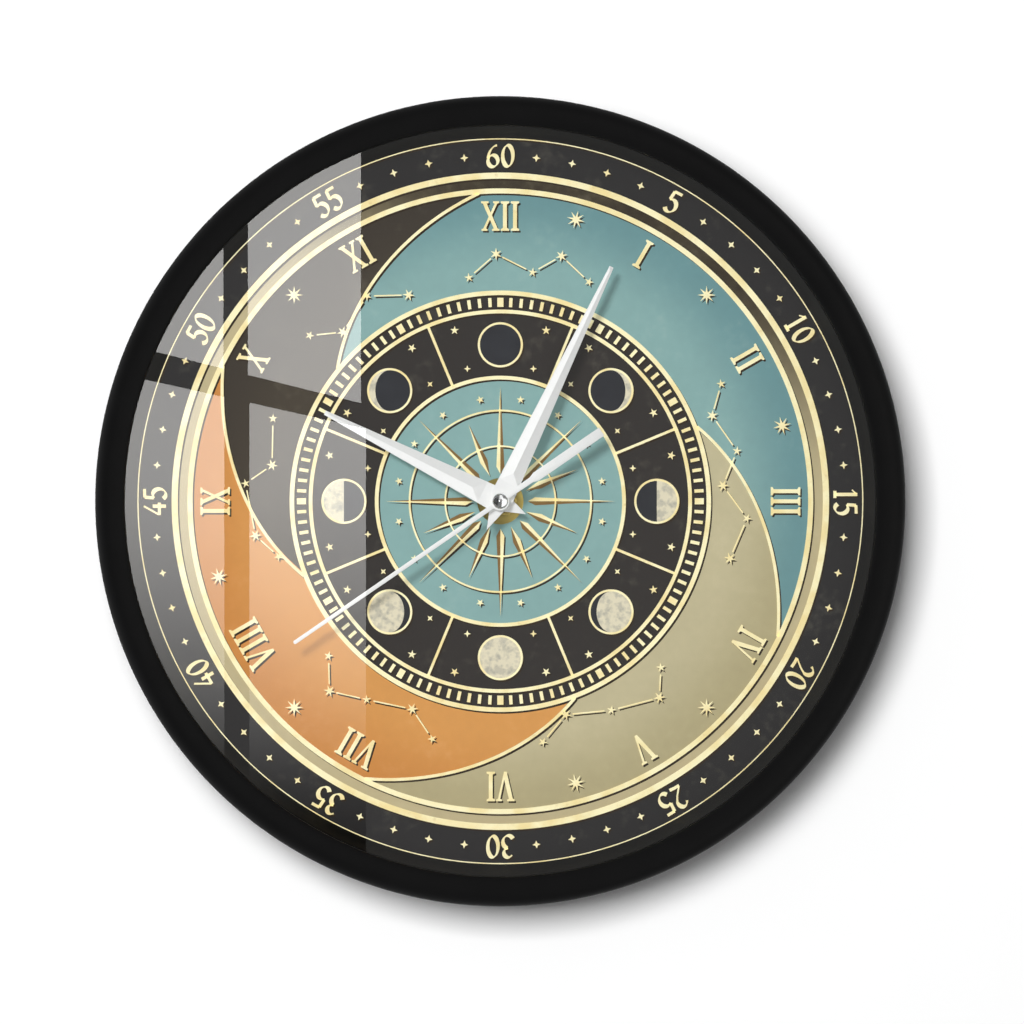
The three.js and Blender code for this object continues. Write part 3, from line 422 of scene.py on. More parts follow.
def shade(red, green, blue):
    """A colour picked on a screen, as the linear values that shaders want."""
    return tuple(round((value / 255) ** 2.2, 4) for value in (red, green, blue))


print("mid grey as the shader sees it:", shade(128, 128, 128))

# %% [markdown]
# ## Moulded plastics
#
# The rim is satin black ABS from a polished mould, and what lies behind the glass is duller. Moulded
# plastic is never one even black: flow marks change its gloss, the mould's grain breaks up the highlights,
# and handling leaves paler specks. Each plastic mixes two close colours in clouds, varies its roughness and
# has a fine relief. The relief is in the material because it is far smaller than any face.

# %% Plastics and rubber
CLOUD, FLOW_MARK, SPECK = 14, 5, 1.1  # sizes of the patches, in millimetres


def plastic(name, dark, pale, rough, grain, depth, specular=0.5):
    finish = Finish(name, Specular_IOR_Level=specular)
    clouds = finish.noise(CLOUD, 4)
    fine = finish.noise(grain, 2)
    specks = finish.noise(SPECK, 1) > 0.71
    finish.wire(
        Base_Color=finish.mix(clouds * 0.75 + specks * 0.25, dark, pale),
        Roughness=rough + 0.16 * (finish.noise(FLOW_MARK, 3) - 0.5) + 0.08 * (fine - 0.5),
    )
    return finish.bump(fine, depth)


PLASTICS = {  # dark, pale, roughness, size and depth of the grain in millimetres, specular level
    "rim_black": ((0.0030, 0.0030, 0.0031), (0.0052, 0.0052, 0.0054), 0.52, 0.5, 0.012, 0.09),
    "charcoal_plastic": ((0.0024, 0.0024, 0.0025), (0.0045, 0.0045, 0.0047), 0.62, 0.4, 0.02, 0.12),
    "shell_black": ((0.0090, 0.0090, 0.0092), (0.0150, 0.0150, 0.0154), 0.66, 0.7, 0.05, 0.4),
    "movement_black": ((0.0070, 0.0070, 0.0073), (0.0135, 0.0135, 0.0140), 0.5, 0.35, 0.015),
    "black_rubber": ((0.0090, 0.0088, 0.0086), (0.0160, 0.0156, 0.0150), 0.88, 0.3, 0.03, 0.2),
    "white_nylon": ((0.70, 0.68, 0.61), (0.80, 0.78, 0.73), 0.48, 0.6, 0.01),
    "red_nylon": ((0.30, 0.016, 0.010), (0.42, 0.030, 0.020), 0.45, 0.5, 0.012),
    "circuit_resin": ((0.20, 0.105, 0.028), (0.30, 0.17, 0.055), 0.4, 0.8, 0.02),
}
look = {name: plastic(name, *row) for name, row in PLASTICS.items()}
print("plastics made:", len(look))

# %% [markdown]
# ## Metals
#
# Zinc-plated steel has a fine brushed grain, brass tarnishes in soft patches, and the small chromed cap on
# the hub is nearly a mirror. The brushing is a noise that is stretched along one axis. The white hands are
# lacquered aluminium, so their metal never shows and only the lacquer's slight waviness does. The lacquer
# is two close colours in patches, and the plain inks further on are made the same way.

# %% Metals and lacquer
STRETCHED, EVEN = (0.04, 1.0, 1.0), (1.0, 1.0, 1.0)


def coat(name, dark, pale, patch, detail=4, rough=0.6, vary=0.15, fine=1.5, **constants):
    finish = Finish(name, **constants)
    return finish.wire(
        Base_Color=finish.mix(finish.noise(patch, detail), dark, pale),
        Roughness=rough + vary * (finish.noise(fine, 2) - 0.5),
    )


def metal(name, dark, pale, rough, grain=EVEN, vary=0.05):
    finish = Finish(name, Metallic=1.0)
    patches = finish.noise(4, 4)
    stretch = finish.node("ShaderNodeMapping", None, {"Vector": finish.point, "Scale": grain})
    lines = finish.noise(0.25, 2, stretch)
    finish.wire(
        Base_Color=finish.mix(patches, dark, pale),
        Roughness=rough + 0.14 * (patches - 0.5) + vary * (lines - 0.5),
    )
    return finish.bump(lines, 0.004)


METALS = {  # dark, pale, roughness, direction of the grain and how far it varies the roughness
    "zinc_steel": ((0.46, 0.47, 0.49), (0.62, 0.63, 0.65), 0.34, STRETCHED, 0.22),
    "brass": ((0.34, 0.25, 0.06), (0.52, 0.42, 0.13), 0.33, STRETCHED, 0.12),
    "copper_wire": ((0.34, 0.085, 0.03), (0.52, 0.16, 0.06), 0.38, STRETCHED, 0.2),
    "hub_chrome": ((0.74, 0.75, 0.77), (0.83, 0.83, 0.84), 0.07),
    "ferrite": ((0.045, 0.045, 0.048), (0.075, 0.075, 0.078), 0.6),
}
look.update((name, metal(name, *row)) for name, row in METALS.items())

lacquer = coat(
    "white_lacquer", (0.76, 0.76, 0.755), (0.81, 0.81, 0.805), 2.2, 3, 0.36, 0.10, 0.8,
    Coat_Weight=0.25, Coat_Roughness=0.18,
)
lacquer.bump(lacquer.noise(0.5, 2), 0.004)
print("plastics and metals:", ", ".join(look))

# %% [markdown]
# ## Glass
#
# Thin flat glass hardly bends what is behind it, so it is a clear film with a mirror on it. This lets lamps
# through, which a refracting shader wouldn't. Fresnel says how much mirrors: 8 % face on, as the two faces
# of a real pane do together, and far more at a slant. A ray that comes from inside passes, because unbent
# it would meet the inner face too flatly and be thrown back. Float glass is smooth, so the mirror is sharp.

# %% Clear glass
PANE_IOR = 1.79  # one face that mirrors as much as both of a pane's

glass = Finish("lens_glass")
mirror = glass.node("ShaderNodeBsdfGlossy", None, {"Color": (1, 1, 1, 1), "Roughness": 0.0})
clear = glass.node("ShaderNodeBsdfTransparent", None, {"Color": (0.997, 1, 0.999, 1)})
slant = glass.node("ShaderNodeFresnel", None, {"IOR": PANE_IOR})
inside = glass.node("ShaderNodeNewGeometry", out="Backfacing")
pane = glass.node("ShaderNodeMixShader", None, {0: slant * (1 - inside), 1: clear, 2: mirror})
glass.tree.nodes.remove(glass.shader)
glass.surface(pane)
print("face on, the glass mirrors", round(100 * ((PANE_IOR - 1) / (PANE_IOR + 1)) ** 2, 1), "%")

# %% [markdown]
# ## The rim, the glass and the spacer
#
# The rim is one turned section. Its front is two quarter ellipses that meet on a crown, which give the soft
# broad highlight of a moulded frame. Inside the skirt stand the bosses for the back plate's screws, each
# tied to the wall by a web. The spacer is a sloping ring that keeps the glass off the hands.

# %% Rim
SMOOTH = 288  # steps round the large rings
RIM_INNER, OPENING, CROWN = 147.8, 139.0, 144.5  # radii of the skirt's inside, the mouth and the crown
OUTER_RISE, INNER_RISE = 4.6, 1.9  # heights of the two quarter ellipses
EDGE, ROUND, ROUND_MIDDLE, PLAY = 0.3, 0.6, 0.17, 0.3
BACK_REAR, BACK_FRONT = 1.7, 3.9  # levels of the back plate
BOSS_CIRCLE, BOSS, PILOT, WEB, WEB_ROOT, WEB_TIP = 144.1, 2.9, 1.4, 2.0, 2.7, 3.8

rim_front, rim_radius = levels("frame_rim")[1], reach("frame_rim")
glass_rear, glass_front = levels("glass_lens")
lip_rear, boss_rear = glass_front + PLAY, BACK_FRONT + PLAY
boss_places = [polar(BOSS_CIRCLE, 30 + 60 * step) for step in range(6)]
rim = Piece().lathe([
    (RIM_INNER, EDGE), (RIM_INNER + EDGE, 0),
    (rim_radius - ROUND, 0), (rim_radius - ROUND_MIDDLE, ROUND_MIDDLE), (rim_radius, ROUND),
    *arc((CROWN, rim_front - OUTER_RISE), rim_radius - CROWN, OUTER_RISE, 0, 90, 14),
    *arc((CROWN, rim_front - INNER_RISE), CROWN - OPENING, INNER_RISE, 90, 180, 10)[1:],
    (OPENING, lip_rear + EDGE), (OPENING + EDGE, lip_rear), (RIM_INNER, lip_rear),
], SMOOTH)
for boss in boss_places:
    rim.lathe([(PILOT, boss_rear), (BOSS, boss_rear), (BOSS, lip_rear), (PILOT, lip_rear)], 32, boss)
    root, tip = ([way + out * way / BOSS_CIRCLE for way in boss] for out in (WEB_ROOT, WEB_TIP))
    rim.prism(stroke([root, tip], WEB), boss_rear, lip_rear)
rim.make("rim_moulding", look["rim_black"], ["frame_rim"], sharp=30)

# %% Glass and spacer
stack_radius = reach("glass_lens")
ground_radius = stack_radius - EDGE
lens = Piece().lathe([
    (0, glass_rear), (ground_radius, glass_rear), (stack_radius, glass_rear + EDGE),
    (stack_radius, glass_front - EDGE), (ground_radius, glass_front), (0, glass_front),
], SMOOTH)
lens.make("front_glass", glass, ["glass_lens"], sharp=20)

SPACER_TOP, SPACER_FOOT = 138.9, 135.0  # inner radii at the glass and at the dial
spacer_rear, spacer_front = levels("spacer_ring")
spacer = Piece().lathe([
    (stack_radius, spacer_rear), (stack_radius, spacer_front),
    (SPACER_TOP, spacer_front), (SPACER_TOP - EDGE, spacer_front - EDGE),
    (SPACER_FOOT + 0.2, spacer_rear + 0.7), (SPACER_FOOT, spacer_rear + 0.2),
    (SPACER_FOOT + 0.2, spacer_rear),
], SMOOTH)
spacer.make("spacer", look["charcoal_plastic"], ["spacer_ring"], sharp=30)

# %% [markdown]
# ## The printed ground of the dial
#
# The dial is a sheet of hardboard with a print on its face. From the hands' axis outwards the ground has a
# blue-green disc, a dark ring for the moon, a wide field of four coloured swirls, a taupe groove and a black
# ring for the minutes. All of that depends only on radius and angle, so the ground is one expression: the
# swirls come from adding a share of the radius to the turn.

# %% Colours of the ground
DISC, TICK_OUTER, FIELD, GROOVE, SPAN = 46.0, 78.0, 115.4, 121.0, 150
TEAL, CREAM = shade(136, 174, 172), shade(196, 186, 150)
ORANGE, UMBER = shade(218, 154, 84), shade(68, 61, 51)
# darker copies of the four colours, for the painted shade near the outer gold ring
SWIRLS_IN_SHADE = shade(106, 148, 152), shade(178, 167, 128), shade(204, 136, 68), shade(56, 50, 43)
NIGHT, CHAPTER_BLACK, TAUPE = shade(46, 43, 42), shade(38, 38, 40), shade(192, 178, 139)
SWIRL = 0.13  # of a turn, from the inside of the field to its outside
PHASE = 50.8 / 360  # brings the borders between the hour numerals
BORDERS = [0, 4 / 12, 7 / 12, 10 / 12]

ground = Finish("printed_ground", Specular_IOR_Level=0.25)
x, y, _ = ground.axes()
radius = (x * x + y * y) ** 0.5
turn = x.math("ARCTAN2", x, y) / tau
drift = 0.004 * (ground.noise(26, 3) - 0.5)
swirl = (turn - SWIRL * (radius - TICK_OUTER) / (FIELD - TICK_OUTER) + drift + 1 + PHASE) % 1.0
sectors = ground.bands(swirl, list(zip(BORDERS, (TEAL, CREAM, ORANGE, UMBER))))
shaded_sectors = ground.bands(swirl, list(zip(BORDERS, SWIRLS_IN_SHADE)))
# painted shade: from 84 mm outwards the swirls darken towards the outer gold ring
field = ground.mix(ground.between(radius, TICK_OUTER + 6, FIELD - 1.4), sectors, shaded_sectors)
rings = ground.bands(radius / SPAN, [
    (0.0, TEAL), (DISC / SPAN, NIGHT), (FIELD / SPAN, TAUPE), (GROOVE / SPAN, CHAPTER_BLACK),
])
colours = ground.mix((radius > TICK_OUTER) * (radius < FIELD), rings, field)
print("the ground's borders, in degrees:", [round(360 * (border - PHASE)) for border in BORDERS])

# %% Wear of the print, a painted shadow in the groove, and the board
# painted shadow: the upper part of the taupe groove is darkened, as if the gold ring above it shaded it
groove_shadow = (radius > FIELD) * (radius < GROOVE) * ground.between(0.34 * x + 0.94 * y, 40, 108)
worn = ground.noise(18, 5) * 0.55 + ground.noise(3.5, 4) * 0.45
# the ground darkens in cloudy worn patches, and in the groove under the painted shadow
darker = ground.mix(0.22 * (1 - worn) + groove_shadow * 0.86, colours, (0.024, 0.016, 0.008))
aged = ground.mix(ground.between(worn, 0.52, 0.78) * 0.06, darker, shade(226, 216, 190))
ground.wire(Base_Color=aged, Roughness=0.62 + 0.2 * (worn - 0.5))
ground.bump(ground.noise(0.6, 2), 0.006)

hardboard = Finish("hardboard", Specular_IOR_Level=0.2)
fibre = hardboard.noise(0.9, 5)
hardboard.wire(
    Base_Color=hardboard.mix(fibre, (0.145, 0.078, 0.036), (0.26, 0.155, 0.08)),
    Roughness=0.75 + 0.2 * (fibre - 0.5),
)
hardboard.bump(fibre, 0.04)

HUB_HOLE = 4.3
board = Piece().lathe([
    (HUB_HOLE, dial_rear), (stack_radius, dial_rear), (stack_radius, dial_front), (HUB_HOLE, dial_front),
], SMOOTH)
dial = board.make("dial_board", hardboard, ["dial_plate"], slot="printed_board", sharp=30)
dial.data.materials.append(ground.material)
for face in dial.data.polygons:
    face.material_index = int(face.normal.y < -0.9)

# %% [markdown]
# ## Gold ornaments
#
# Everything gold on the print looks like cut sheet metal that lies on the ground: pale gold with deeper
# patches, and a dark line of shadow along its lower right edge. Each gold shape is a thin raised prism, and
# the same outlines are made once more, shifted and darker, as its printed shadow. Outlines stay crisp at any
# size, which a pattern in the ground's own material wouldn't. The first shapes are the rings: a thin line that
# closes the black ring, two that edge the groove, two for the ticks and one for the disc.

# %% Inks
gold_ink = Finish("gold_ink", Specular_IOR_Level=0.35)
patina = gold_ink.noise(9, 4)
stain = gold_ink.between(gold_ink.noise(2.6, 4), 0.60, 0.78)
pale_gold = gold_ink.mix(gold_ink.between(patina, 0.36, 0.68), (0.97, 0.89, 0.55), (0.88, 0.73, 0.35))
gold_ink.wire(
    Base_Color=gold_ink.mix(stain * 0.35, pale_gold, (0.60, 0.42, 0.15)),
    Roughness=0.5 + 0.2 * (patina - 0.5),
)
gold_ink.bump(gold_ink.noise(0.9, 3), 0.02)

moon_ink = Finish("moon_ink", Specular_IOR_Level=0.25)
seas = moon_ink.between(moon_ink.noise(3.4, 4), 0.44, 0.62)
pits = moon_ink.node("ShaderNodeTexVoronoi", None, {"Vector": moon_ink.point, "Scale": 1 / (1.7 * MM)})
craters = moon_ink.between(pits, 0.25, 0.5)
moon_ink.wire(
    Base_Color=moon_ink.mix(seas * 0.55 + (1 - craters) * 0.25, (0.72, 0.66, 0.49), (0.36, 0.35, 0.30)),
    Roughness=0.6 + 0.15 * (seas - 0.5),
)

shadow_ink = coat(
    "shadow_ink", (0.012, 0.007, 0.003), (0.040, 0.024, 0.010), 6, 3, 0.68, 0.1, 2, Specular_IOR_Level=0.2
)
umber_ink = coat("umber_ink", (0.150, 0.082, 0.024), (0.27, 0.16, 0.05), 4, Specular_IOR_Level=0.25)
night_ink = coat("night_ink", (0.013, 0.014, 0.018), (0.026, 0.028, 0.035), 5, Specular_IOR_Level=0.25)
inks = (gold_ink, moon_ink, shadow_ink, umber_ink, night_ink)
print("inks made:", ", ".join(ink.name for ink in inks))


# %% A layer of ink
class Ink:
    """Flat shapes of one colour, made as thin prisms on the dial."""

    def __init__(self):
        self.loops = []
        self.strips = []

    def shape(self, loop):
        self.loops.append(loop)

    def line(self, path, width):
        self.shape(stroke(path, width))

    def ring(self, inner, outer, centre=(0, 0), steps=SMOOTH):
        self.strips.append((circle(outer, centre, steps), circle(inner, centre, steps)))

    def make(self, name, finish, low, high, shift=(0, 0)):
        layer = Piece()
        for loop in self.loops:
            layer.prism(shifted(loop, shift), dial_front + low, dial_front + high)
        for strip in self.strips:
            layer.band(*(shifted(loop, shift) for loop in strip), dial_front + low, dial_front + high)
        return layer.make(name, finish, slot="printed_board", sharp=30)


gold, umber, moons, dark_sides = Ink(), Ink(), Ink(), Ink()
RINGS = [(134.6, 135.1), (120.0, 122.3), (114.5, 116.4), (76.7, 78.4), (69.9, 71.3), (45.3, 46.7)]
for inner, outer in RINGS:
    gold.ring(inner, outer)
print("gold rings:", len(gold.strips))

# %% [markdown]
# ## Numerals
#
# The hours are Roman numerals in the field, the minutes plain figures in the black ring. A Roman numeral
# needs only three letters, so these are outlines with slab feet, of which I and X look the same upside down.
# The figures are drawn as a broad pen would: a line whose width depends on its direction, which gives thick
# and thin strokes by itself.

# %% Letters and figures
def twice(half):
    return half + [(-px, 1 - py) for px, py in half]


LETTERS = {  # width and outline, for a height of 1
    "I": (0.46, twice([(-.19, 0), (.19, 0), (.19, .06), (.09, .10), (.09, .90), (.19, .94)])),
    "V": (0.88, [
        (-.42, 1), (-.08, 1), (-.08, .94), (-.16, .92), (.055, .27), (.235, .92), (.16, .94), (.16, 1),
        (.42, 1), (.42, .94), (.335, .91), (.06, 0), (-.06, 0), (-.34, .91), (-.42, .94),
    ]),
    "X": (0.88, twice([
        (-.42, 1), (-.08, 1), (-.08, .94), (-.16, .92), (.0165, .6235), (.20, .92), (.13, .94), (.13, 1),
        (.40, 1), (.40, .94), (.32, .92), (.0753, .5247), (.34, .08), (.42, .06),
    ])),
}
FIGURES = {  # paths of the pen; one that ends where it started is closed
    "0": [arc((0, .5), .24, .45, 0, 360, 40)],
    "1": [[(.03, 1.0), (.03, .03)], [(-.19, .77), (.01, .95)], [(-.14, .03), (.20, .03)]],
    "2": [
        arc((0, .73), .22, .24, 165, -25, 20) + [(.08, .43), (-.21, .10)],
        [(-.25, .06), (.0, .07), (.26, .05)],
    ],
    "3": [arc((-.02, .76), .2, .2, 150, -85, 20), arc((-.02, .29), .25, .27, 82, -150, 24)],
    "4": [[(.12, .98), (-.27, .34)], [(-.30, .31), (.29, .31)], [(.12, .60), (.12, .02)]],
    "5": [
        [(-.17, .94), (.23, .95)], [(-.16, .94), (-.19, .55)], arc((-.02, .31), .25, .28, 132, -145, 24),
    ],
    "6": [arc((.24, .30), .47, .66, 96, 172, 16), arc((0, .28), .23, .25, 0, 360, 36)],
}
print("letters:", " ".join(LETTERS), "figures:", " ".join(FIGURES))

# %% Writing
NIB, HAIRLINE, NIB_ANGLE, FIGURE_STEP = 0.19, 0.06, 38, 0.70
HOUR_SQUEEZE, FIGURE_SQUEEZE = 0.74, 0.92


def pen(direction):
    return hypot(NIB * sin(direction - radians(NIB_ANGLE)), HAIRLINE)


def on_dial(loop, size, squeeze, foot, turn):
    """A letter's outline, given a height and a place on the dial with its foot towards the hands' axis."""
    return turned([(px * size * squeeze, foot + py * size) for px, py in loop], turn)


def write_roman(ink, text, size, foot, turn):
    pen_x = -sum(LETTERS[letter][0] for letter in text) / 2
    for letter in text:
        advance, outline = LETTERS[letter]
        pen_x += advance / 2
        ink.shape(on_dial(shifted(outline, (pen_x, 0)), size, HOUR_SQUEEZE, foot, turn))
        pen_x += advance / 2


def write_figures(ink, text, size, foot, turn):
    for index, figure in enumerate(text):
        shift = (index - (len(text) - 1) / 2) * FIGURE_STEP
        for path in FIGURES[figure]:
            (x0, y0), (x1, y1) = path[0], path[-1]
            closed = hypot(x1 - x0, y1 - y0) < 1e-6
            sides = ribbon(shifted(path[:-1] if closed else path, (shift, 0)), pen, closed)
            left, right = (on_dial(side, size, FIGURE_SQUEEZE, foot, turn) for side in sides)
            if closed:
                ink.strips.append((left, right))
            else:
                ink.shape(left + right[::-1])


print("the pen draws from", HAIRLINE, "to", round(hypot(NIB, HAIRLINE), 2), "of a figure's height")

# %% [markdown]
# ## Hours and minutes
#
# The minutes count from five to sixty, with small diamonds between them, and the hours stand in the field. A
# band of gold ticks surrounds the moon ring, and spiral lines follow the borders of the four colours.

# %% Numerals, ticks and spirals
HOURS = "XII I II III IV V VI VII VIII IX X XI".split()
for step in range(12):
    write_figures(gold, str(5 * (step or 12)), size=8.6, foot=124.2, turn=30 * step)
    write_roman(gold, HOURS[step], size=11.0, foot=100.6, turn=30 * step)
for minute in range(60):
    if minute % 5:
        gold.shape(star(polar(128.4, 6 * minute), 1.5, 0.62, 4, 6 * minute))

TICKS, TICK_START, TICK_END = 120, 72.3, 75.7
for step in range(TICKS):
    way = 360 / TICKS * step
    gold.line([polar(TICK_START, way), polar(TICK_END, way)], 1.24 if step % 10 else 2.3)


def spiral(start, inner, outer, span, steps=40):
    return [polar(inner + (outer - inner) * i / steps, start + span * i / steps) for i in range(steps + 1)]


for border in BORDERS:
    gold.line(spiral(360 * (border - PHASE), 78.2, 114.8, 360 * SWIRL), 1.15)
print("gold shapes so far:", len(gold.loops) + len(gold.strips))

# %% [markdown]
# ## Sun, moon and stars
#
# At the middle a sixteen-pointed sun stands on the blue-green disc, each ray half gold and half umber like a
# folded sheet. Around it eight discs show the moon from new to full and back. A terminator is half an
# ellipse, so each dark part is one half circle closed by one ellipse. Small stars fill the field, and thin
# lines join some of them.

# %% Sun
SUN_ROOT, RAY = 10.2, 22.5
LONG_RAY, SHORT_RAY = (43.0, 13.0, 6.6), (31.0, 16.0, 5.2)  # tip, foot and half width in degrees
gold.ring(33.4, 34.1)
gold.ring(20.2, 20.8)
for step in range(16):
    tip, foot, spread = SHORT_RAY if step % 2 else LONG_RAY
    for side, ink in ((-1, gold), (1, umber)):
        ray = [polar(SUN_ROOT, RAY * step), polar(foot, RAY * step + side * spread), polar(tip, RAY * step)]
        ink.shape(ray[::side])
for step in range(16):
    gold.shape(star(polar(38.5, RAY * (step + 0.5)), 1.5, 0.6, 5, RAY * step))
print("umber halves of rays:", len(umber.loops))

# %% Moons
MOON, MOON_CIRCLE, MOON_STEPS, TERMINATOR = 7.6, 58.2, 72, 24
half_turn = [pi * i / TERMINATOR for i in range(TERMINATOR + 1)]
for step in range(8):
    way = 45 * step
    centre = polar(MOON_CIRCLE, way)
    moons.shape(circle(MOON, centre, MOON_STEPS))
    gold.ring(MOON, MOON + 0.8, centre, MOON_STEPS)
    gold.line([polar(46.4, way + 22.5), polar(70.2, way + 22.5)], 1.0)
    phase = -cos(radians(way))  # -1 at new moon, +1 at full moon
    limb = -1 if step < 4 else 1
    if step == 0:
        dark_sides.shape(circle(MOON, centre, MOON_STEPS))
    elif step != 4:
        edge = [(limb * sin(a), cos(a)) for a in half_turn]
        edge += [(limb * phase * sin(a), cos(a)) for a in half_turn[-2:0:-1]]
        dark_sides.shape([(centre[0] + MOON * px, centre[1] + MOON * py) for px, py in edge])
    for side in (-1, 1):
        gold.shape(star(polar(50.8, way + side * 14), 1.3, 0.5, 4, way))
        gold.shape(star(polar(65.8, way + side * 15), 1.7, 0.66, 5, way))
print("moons:", len(moons.loops), "of which", len(dark_sides.loops), "have a dark side")

# %% Stars and constellations
CHAINS = [  # radius and turn of each star
    [(84, 352), (92, 359), (86, 8), (94, 14), (88, 22)],
    [(93, 62), (85, 68), (90, 78), (83, 86), (92, 94), (88, 104)],
    [(86, 136), (94, 141), (88, 152), (83, 163), (91, 170)],
    [(92, 196), (84, 203), (89, 214), (95, 222), (86, 228)],
    [(85, 256), (92, 262), (95, 274), (86, 279), (90, 290)],
    [(94, 311), (86, 317), (91, 327), (84, 336)],
]
STAR_GAP = 2.6  # between a star and the line that leaves it
for chain in CHAINS:
    places = [polar(*entry) for entry in chain]
    for (ax, ay), (bx, by) in zip(places, places[1:]):
        gap = STAR_GAP / hypot(bx - ax, by - ay)
        gold.line([(ax + (bx - ax) * share, ay + (by - ay) * share) for share in (gap, 1 - gap)], 0.5)
    for index, (entry, (_, way)) in enumerate(zip(places, chain)):
        outer, inner = (2.3, 0.8) if index % 2 else (1.8, 0.62)
        gold.shape(star(entry, outer, inner, 5 + index % 2, way))
crossed = [round(12 * (border - PHASE + 0.85 * SWIRL)) % 12 for border in BORDERS]
for step in range(12):
    if (step + 1) % 12 not in crossed:
        gold.shape(star(polar(108.5, 30 * step + 15), 3.4, 1.1, 8, 30 * step + 15))

gold.make("gold_ornaments", gold_ink, 0.08, 0.20)
gold.make("ornament_shadows", shadow_ink, 0.01, 0.03, (0.55, -0.65))
umber.make("sun_rays", umber_ink, 0.08, 0.17)
moons.make("moon_discs", moon_ink, 0.04, 0.10)
dark_sides.make("moon_shades", night_ink, 0.11, 0.14)

# %% [markdown]
# ## The hands
#
# The hour and minute hands are stamped sheet, folded along a ridge so that one half catches the light and the
# other lies in shade. Near the hub they stay flat. The second hand is a slim flat rod with a wider
# counterweight on its tail, and a small chromed dome covers the hub.

# %% Folded hands
HAND_FLAT, HAND_SHOULDER, SHEET, INSET = 7.0, 2.0, 0.45, 0.1


def folded_hand(name, node, body, length, tail, width, tip, eye, angle):
    rear, front = levels(node)
    half, end = width / 2, tip / 2
    outline = [(0, -tail), (half, HAND_SHOULDER), (end, length), (-end, length), (-half, HAND_SHOULDER)]
    hand = Piece().sheet([outline, circle(eye, steps=48)], rear, rear + SHEET, 0.09)
    taper = (end - half) * (HAND_FLAT - HAND_SHOULDER) / (length - HAND_SHOULDER)
    start, stop, last = half + taper - INSET, end - INSET, length - INSET
    base = rear + SHEET - 0.05
    tent = [
        (-start, HAND_FLAT, base), (start, HAND_FLAT, base), (stop, last, base), (-stop, last, base),
        (0, HAND_FLAT + half, front), (0, length - tip, front),
    ]
    hand.add(tent, [[0, 1, 4], [1, 2, 5, 4], [2, 3, 5], [3, 0, 4, 5], [3, 2, 1, 0]])
    hand.moved(lambda px, py, pz: (*turned([(px, py)], angle)[0], pz))
    return hand.make(name, lacquer, [node], body, slot="white_hands", sharp=4)


hour_blade = folded_hand(
    "hour_blade", "hour_hand", "hour_hand_body",
    length=73, tail=10.7, width=9.2, tip=1.7, eye=3.0, angle=296.8,
)
minute_blade = folded_hand(
    "minute_blade", "minute_hand", "minute_hand_body",
    length=96.3, tail=11.8, width=8.8, tip=1.6, eye=1.9, angle=25.4,
)

# %% Second hand and hub
SECOND_LENGTH, SECOND_TIP, SECOND_ANGLE = 93, 0.7, 235.5
second_rear, second_front = levels("second_hand")
side = [(1.8, -45.6), (1.8, -16), (1.1, -14), (0.9, 0)]
tip = arc((0, SECOND_LENGTH - SECOND_TIP), SECOND_TIP, SECOND_TIP, 0, 180, 10)
rod = side + tip + [(-px, py) for px, py in side[::-1]]
second = Piece().sheet([turned(rod, SECOND_ANGLE)], second_rear, second_front, 0.12)
second.lathe([
    (0.8, second_rear + 0.02), (3.3, second_rear + 0.02), (3.4, second_rear + 0.12),
    (3.4, second_front - 0.1), (3.3, second_front + 0.04), (0.8, second_front + 0.04),
], 64)
second_rod = second.make(
    "second_rod", lacquer, ["second_hand"], "second_hand_body", slot="white_hands", sharp=30
)

cap_rear, cap_front = levels("hub_cap")
dome = arc((0, cap_rear + 0.1), 2.9, cap_front - cap_rear - 0.1, 0, 90, 14)
cap = Piece().lathe([(0, cap_rear), (2.8, cap_rear), *dome[:-1], (0, cap_front)], 72)
cap.make("hub_dome", look["hub_chrome"], ["hub_cap"], "second_hand_body", sharp=50)

# %% [markdown]
# ## Bushing, washer and nut
#
# A threaded brass bushing comes through the dial, and a nut over a thin washer clamps the movement there.
# Only the washer's edge shows between the hands, but the thread and the nut's chamfers are quickly made.

# %% Hub hardware
NUT_ACROSS, THREAD, ROOT, BORE, PITCH, FLANGE, FLANGE_THICK = 11.0, 4.0, 3.78, 3.0, 0.36, 5.4, 1.2
hub_hole = circle(HUB_HOLE, steps=64)
washer = Piece().sheet([circle(reach("dial_washer")), hub_hole], *levels("dial_washer"), 0.1)
washer.make("clamp_washer", look["brass"], ["dial_washer"])

hexagon = [polar(NUT_ACROSS / 2 / cos(radians(30)), 90 + 60 * step) for step in range(6)]
nut = Piece().sheet([hexagon, hub_hole], *levels("hex_nut"), 0.3)
nut.make("clamp_nut", look["brass"], ["hex_nut"])

flange_rear, thread_front = levels("threaded_bushing")
flange_front = flange_rear + FLANGE_THICK
thread = [(BORE, flange_rear), (FLANGE, flange_rear), (FLANGE, flange_front), (THREAD, flange_front)]
level = flange_front + 0.4
while level < thread_front - 0.4:
    thread += [(ROOT, level), (THREAD, level + PITCH / 2)]
    level += PITCH
thread += [(3.85, thread_front), (BORE, thread_front)]
bushing = Piece().lathe(thread, 64)
bushing.make("bushing_thread", look["brass"], ["threaded_bushing"], sharp=25)

# %% [markdown]
# ## The back
#
# The back plate is one moulded disc with a grained face. A window gives access to the movement, and a
# cut-out near the top shows the steel hanger with its keyhole. The screws have cross recesses, which are cut
# from the head with a boolean, because a recess has to be a real hollow to hold a shadow.

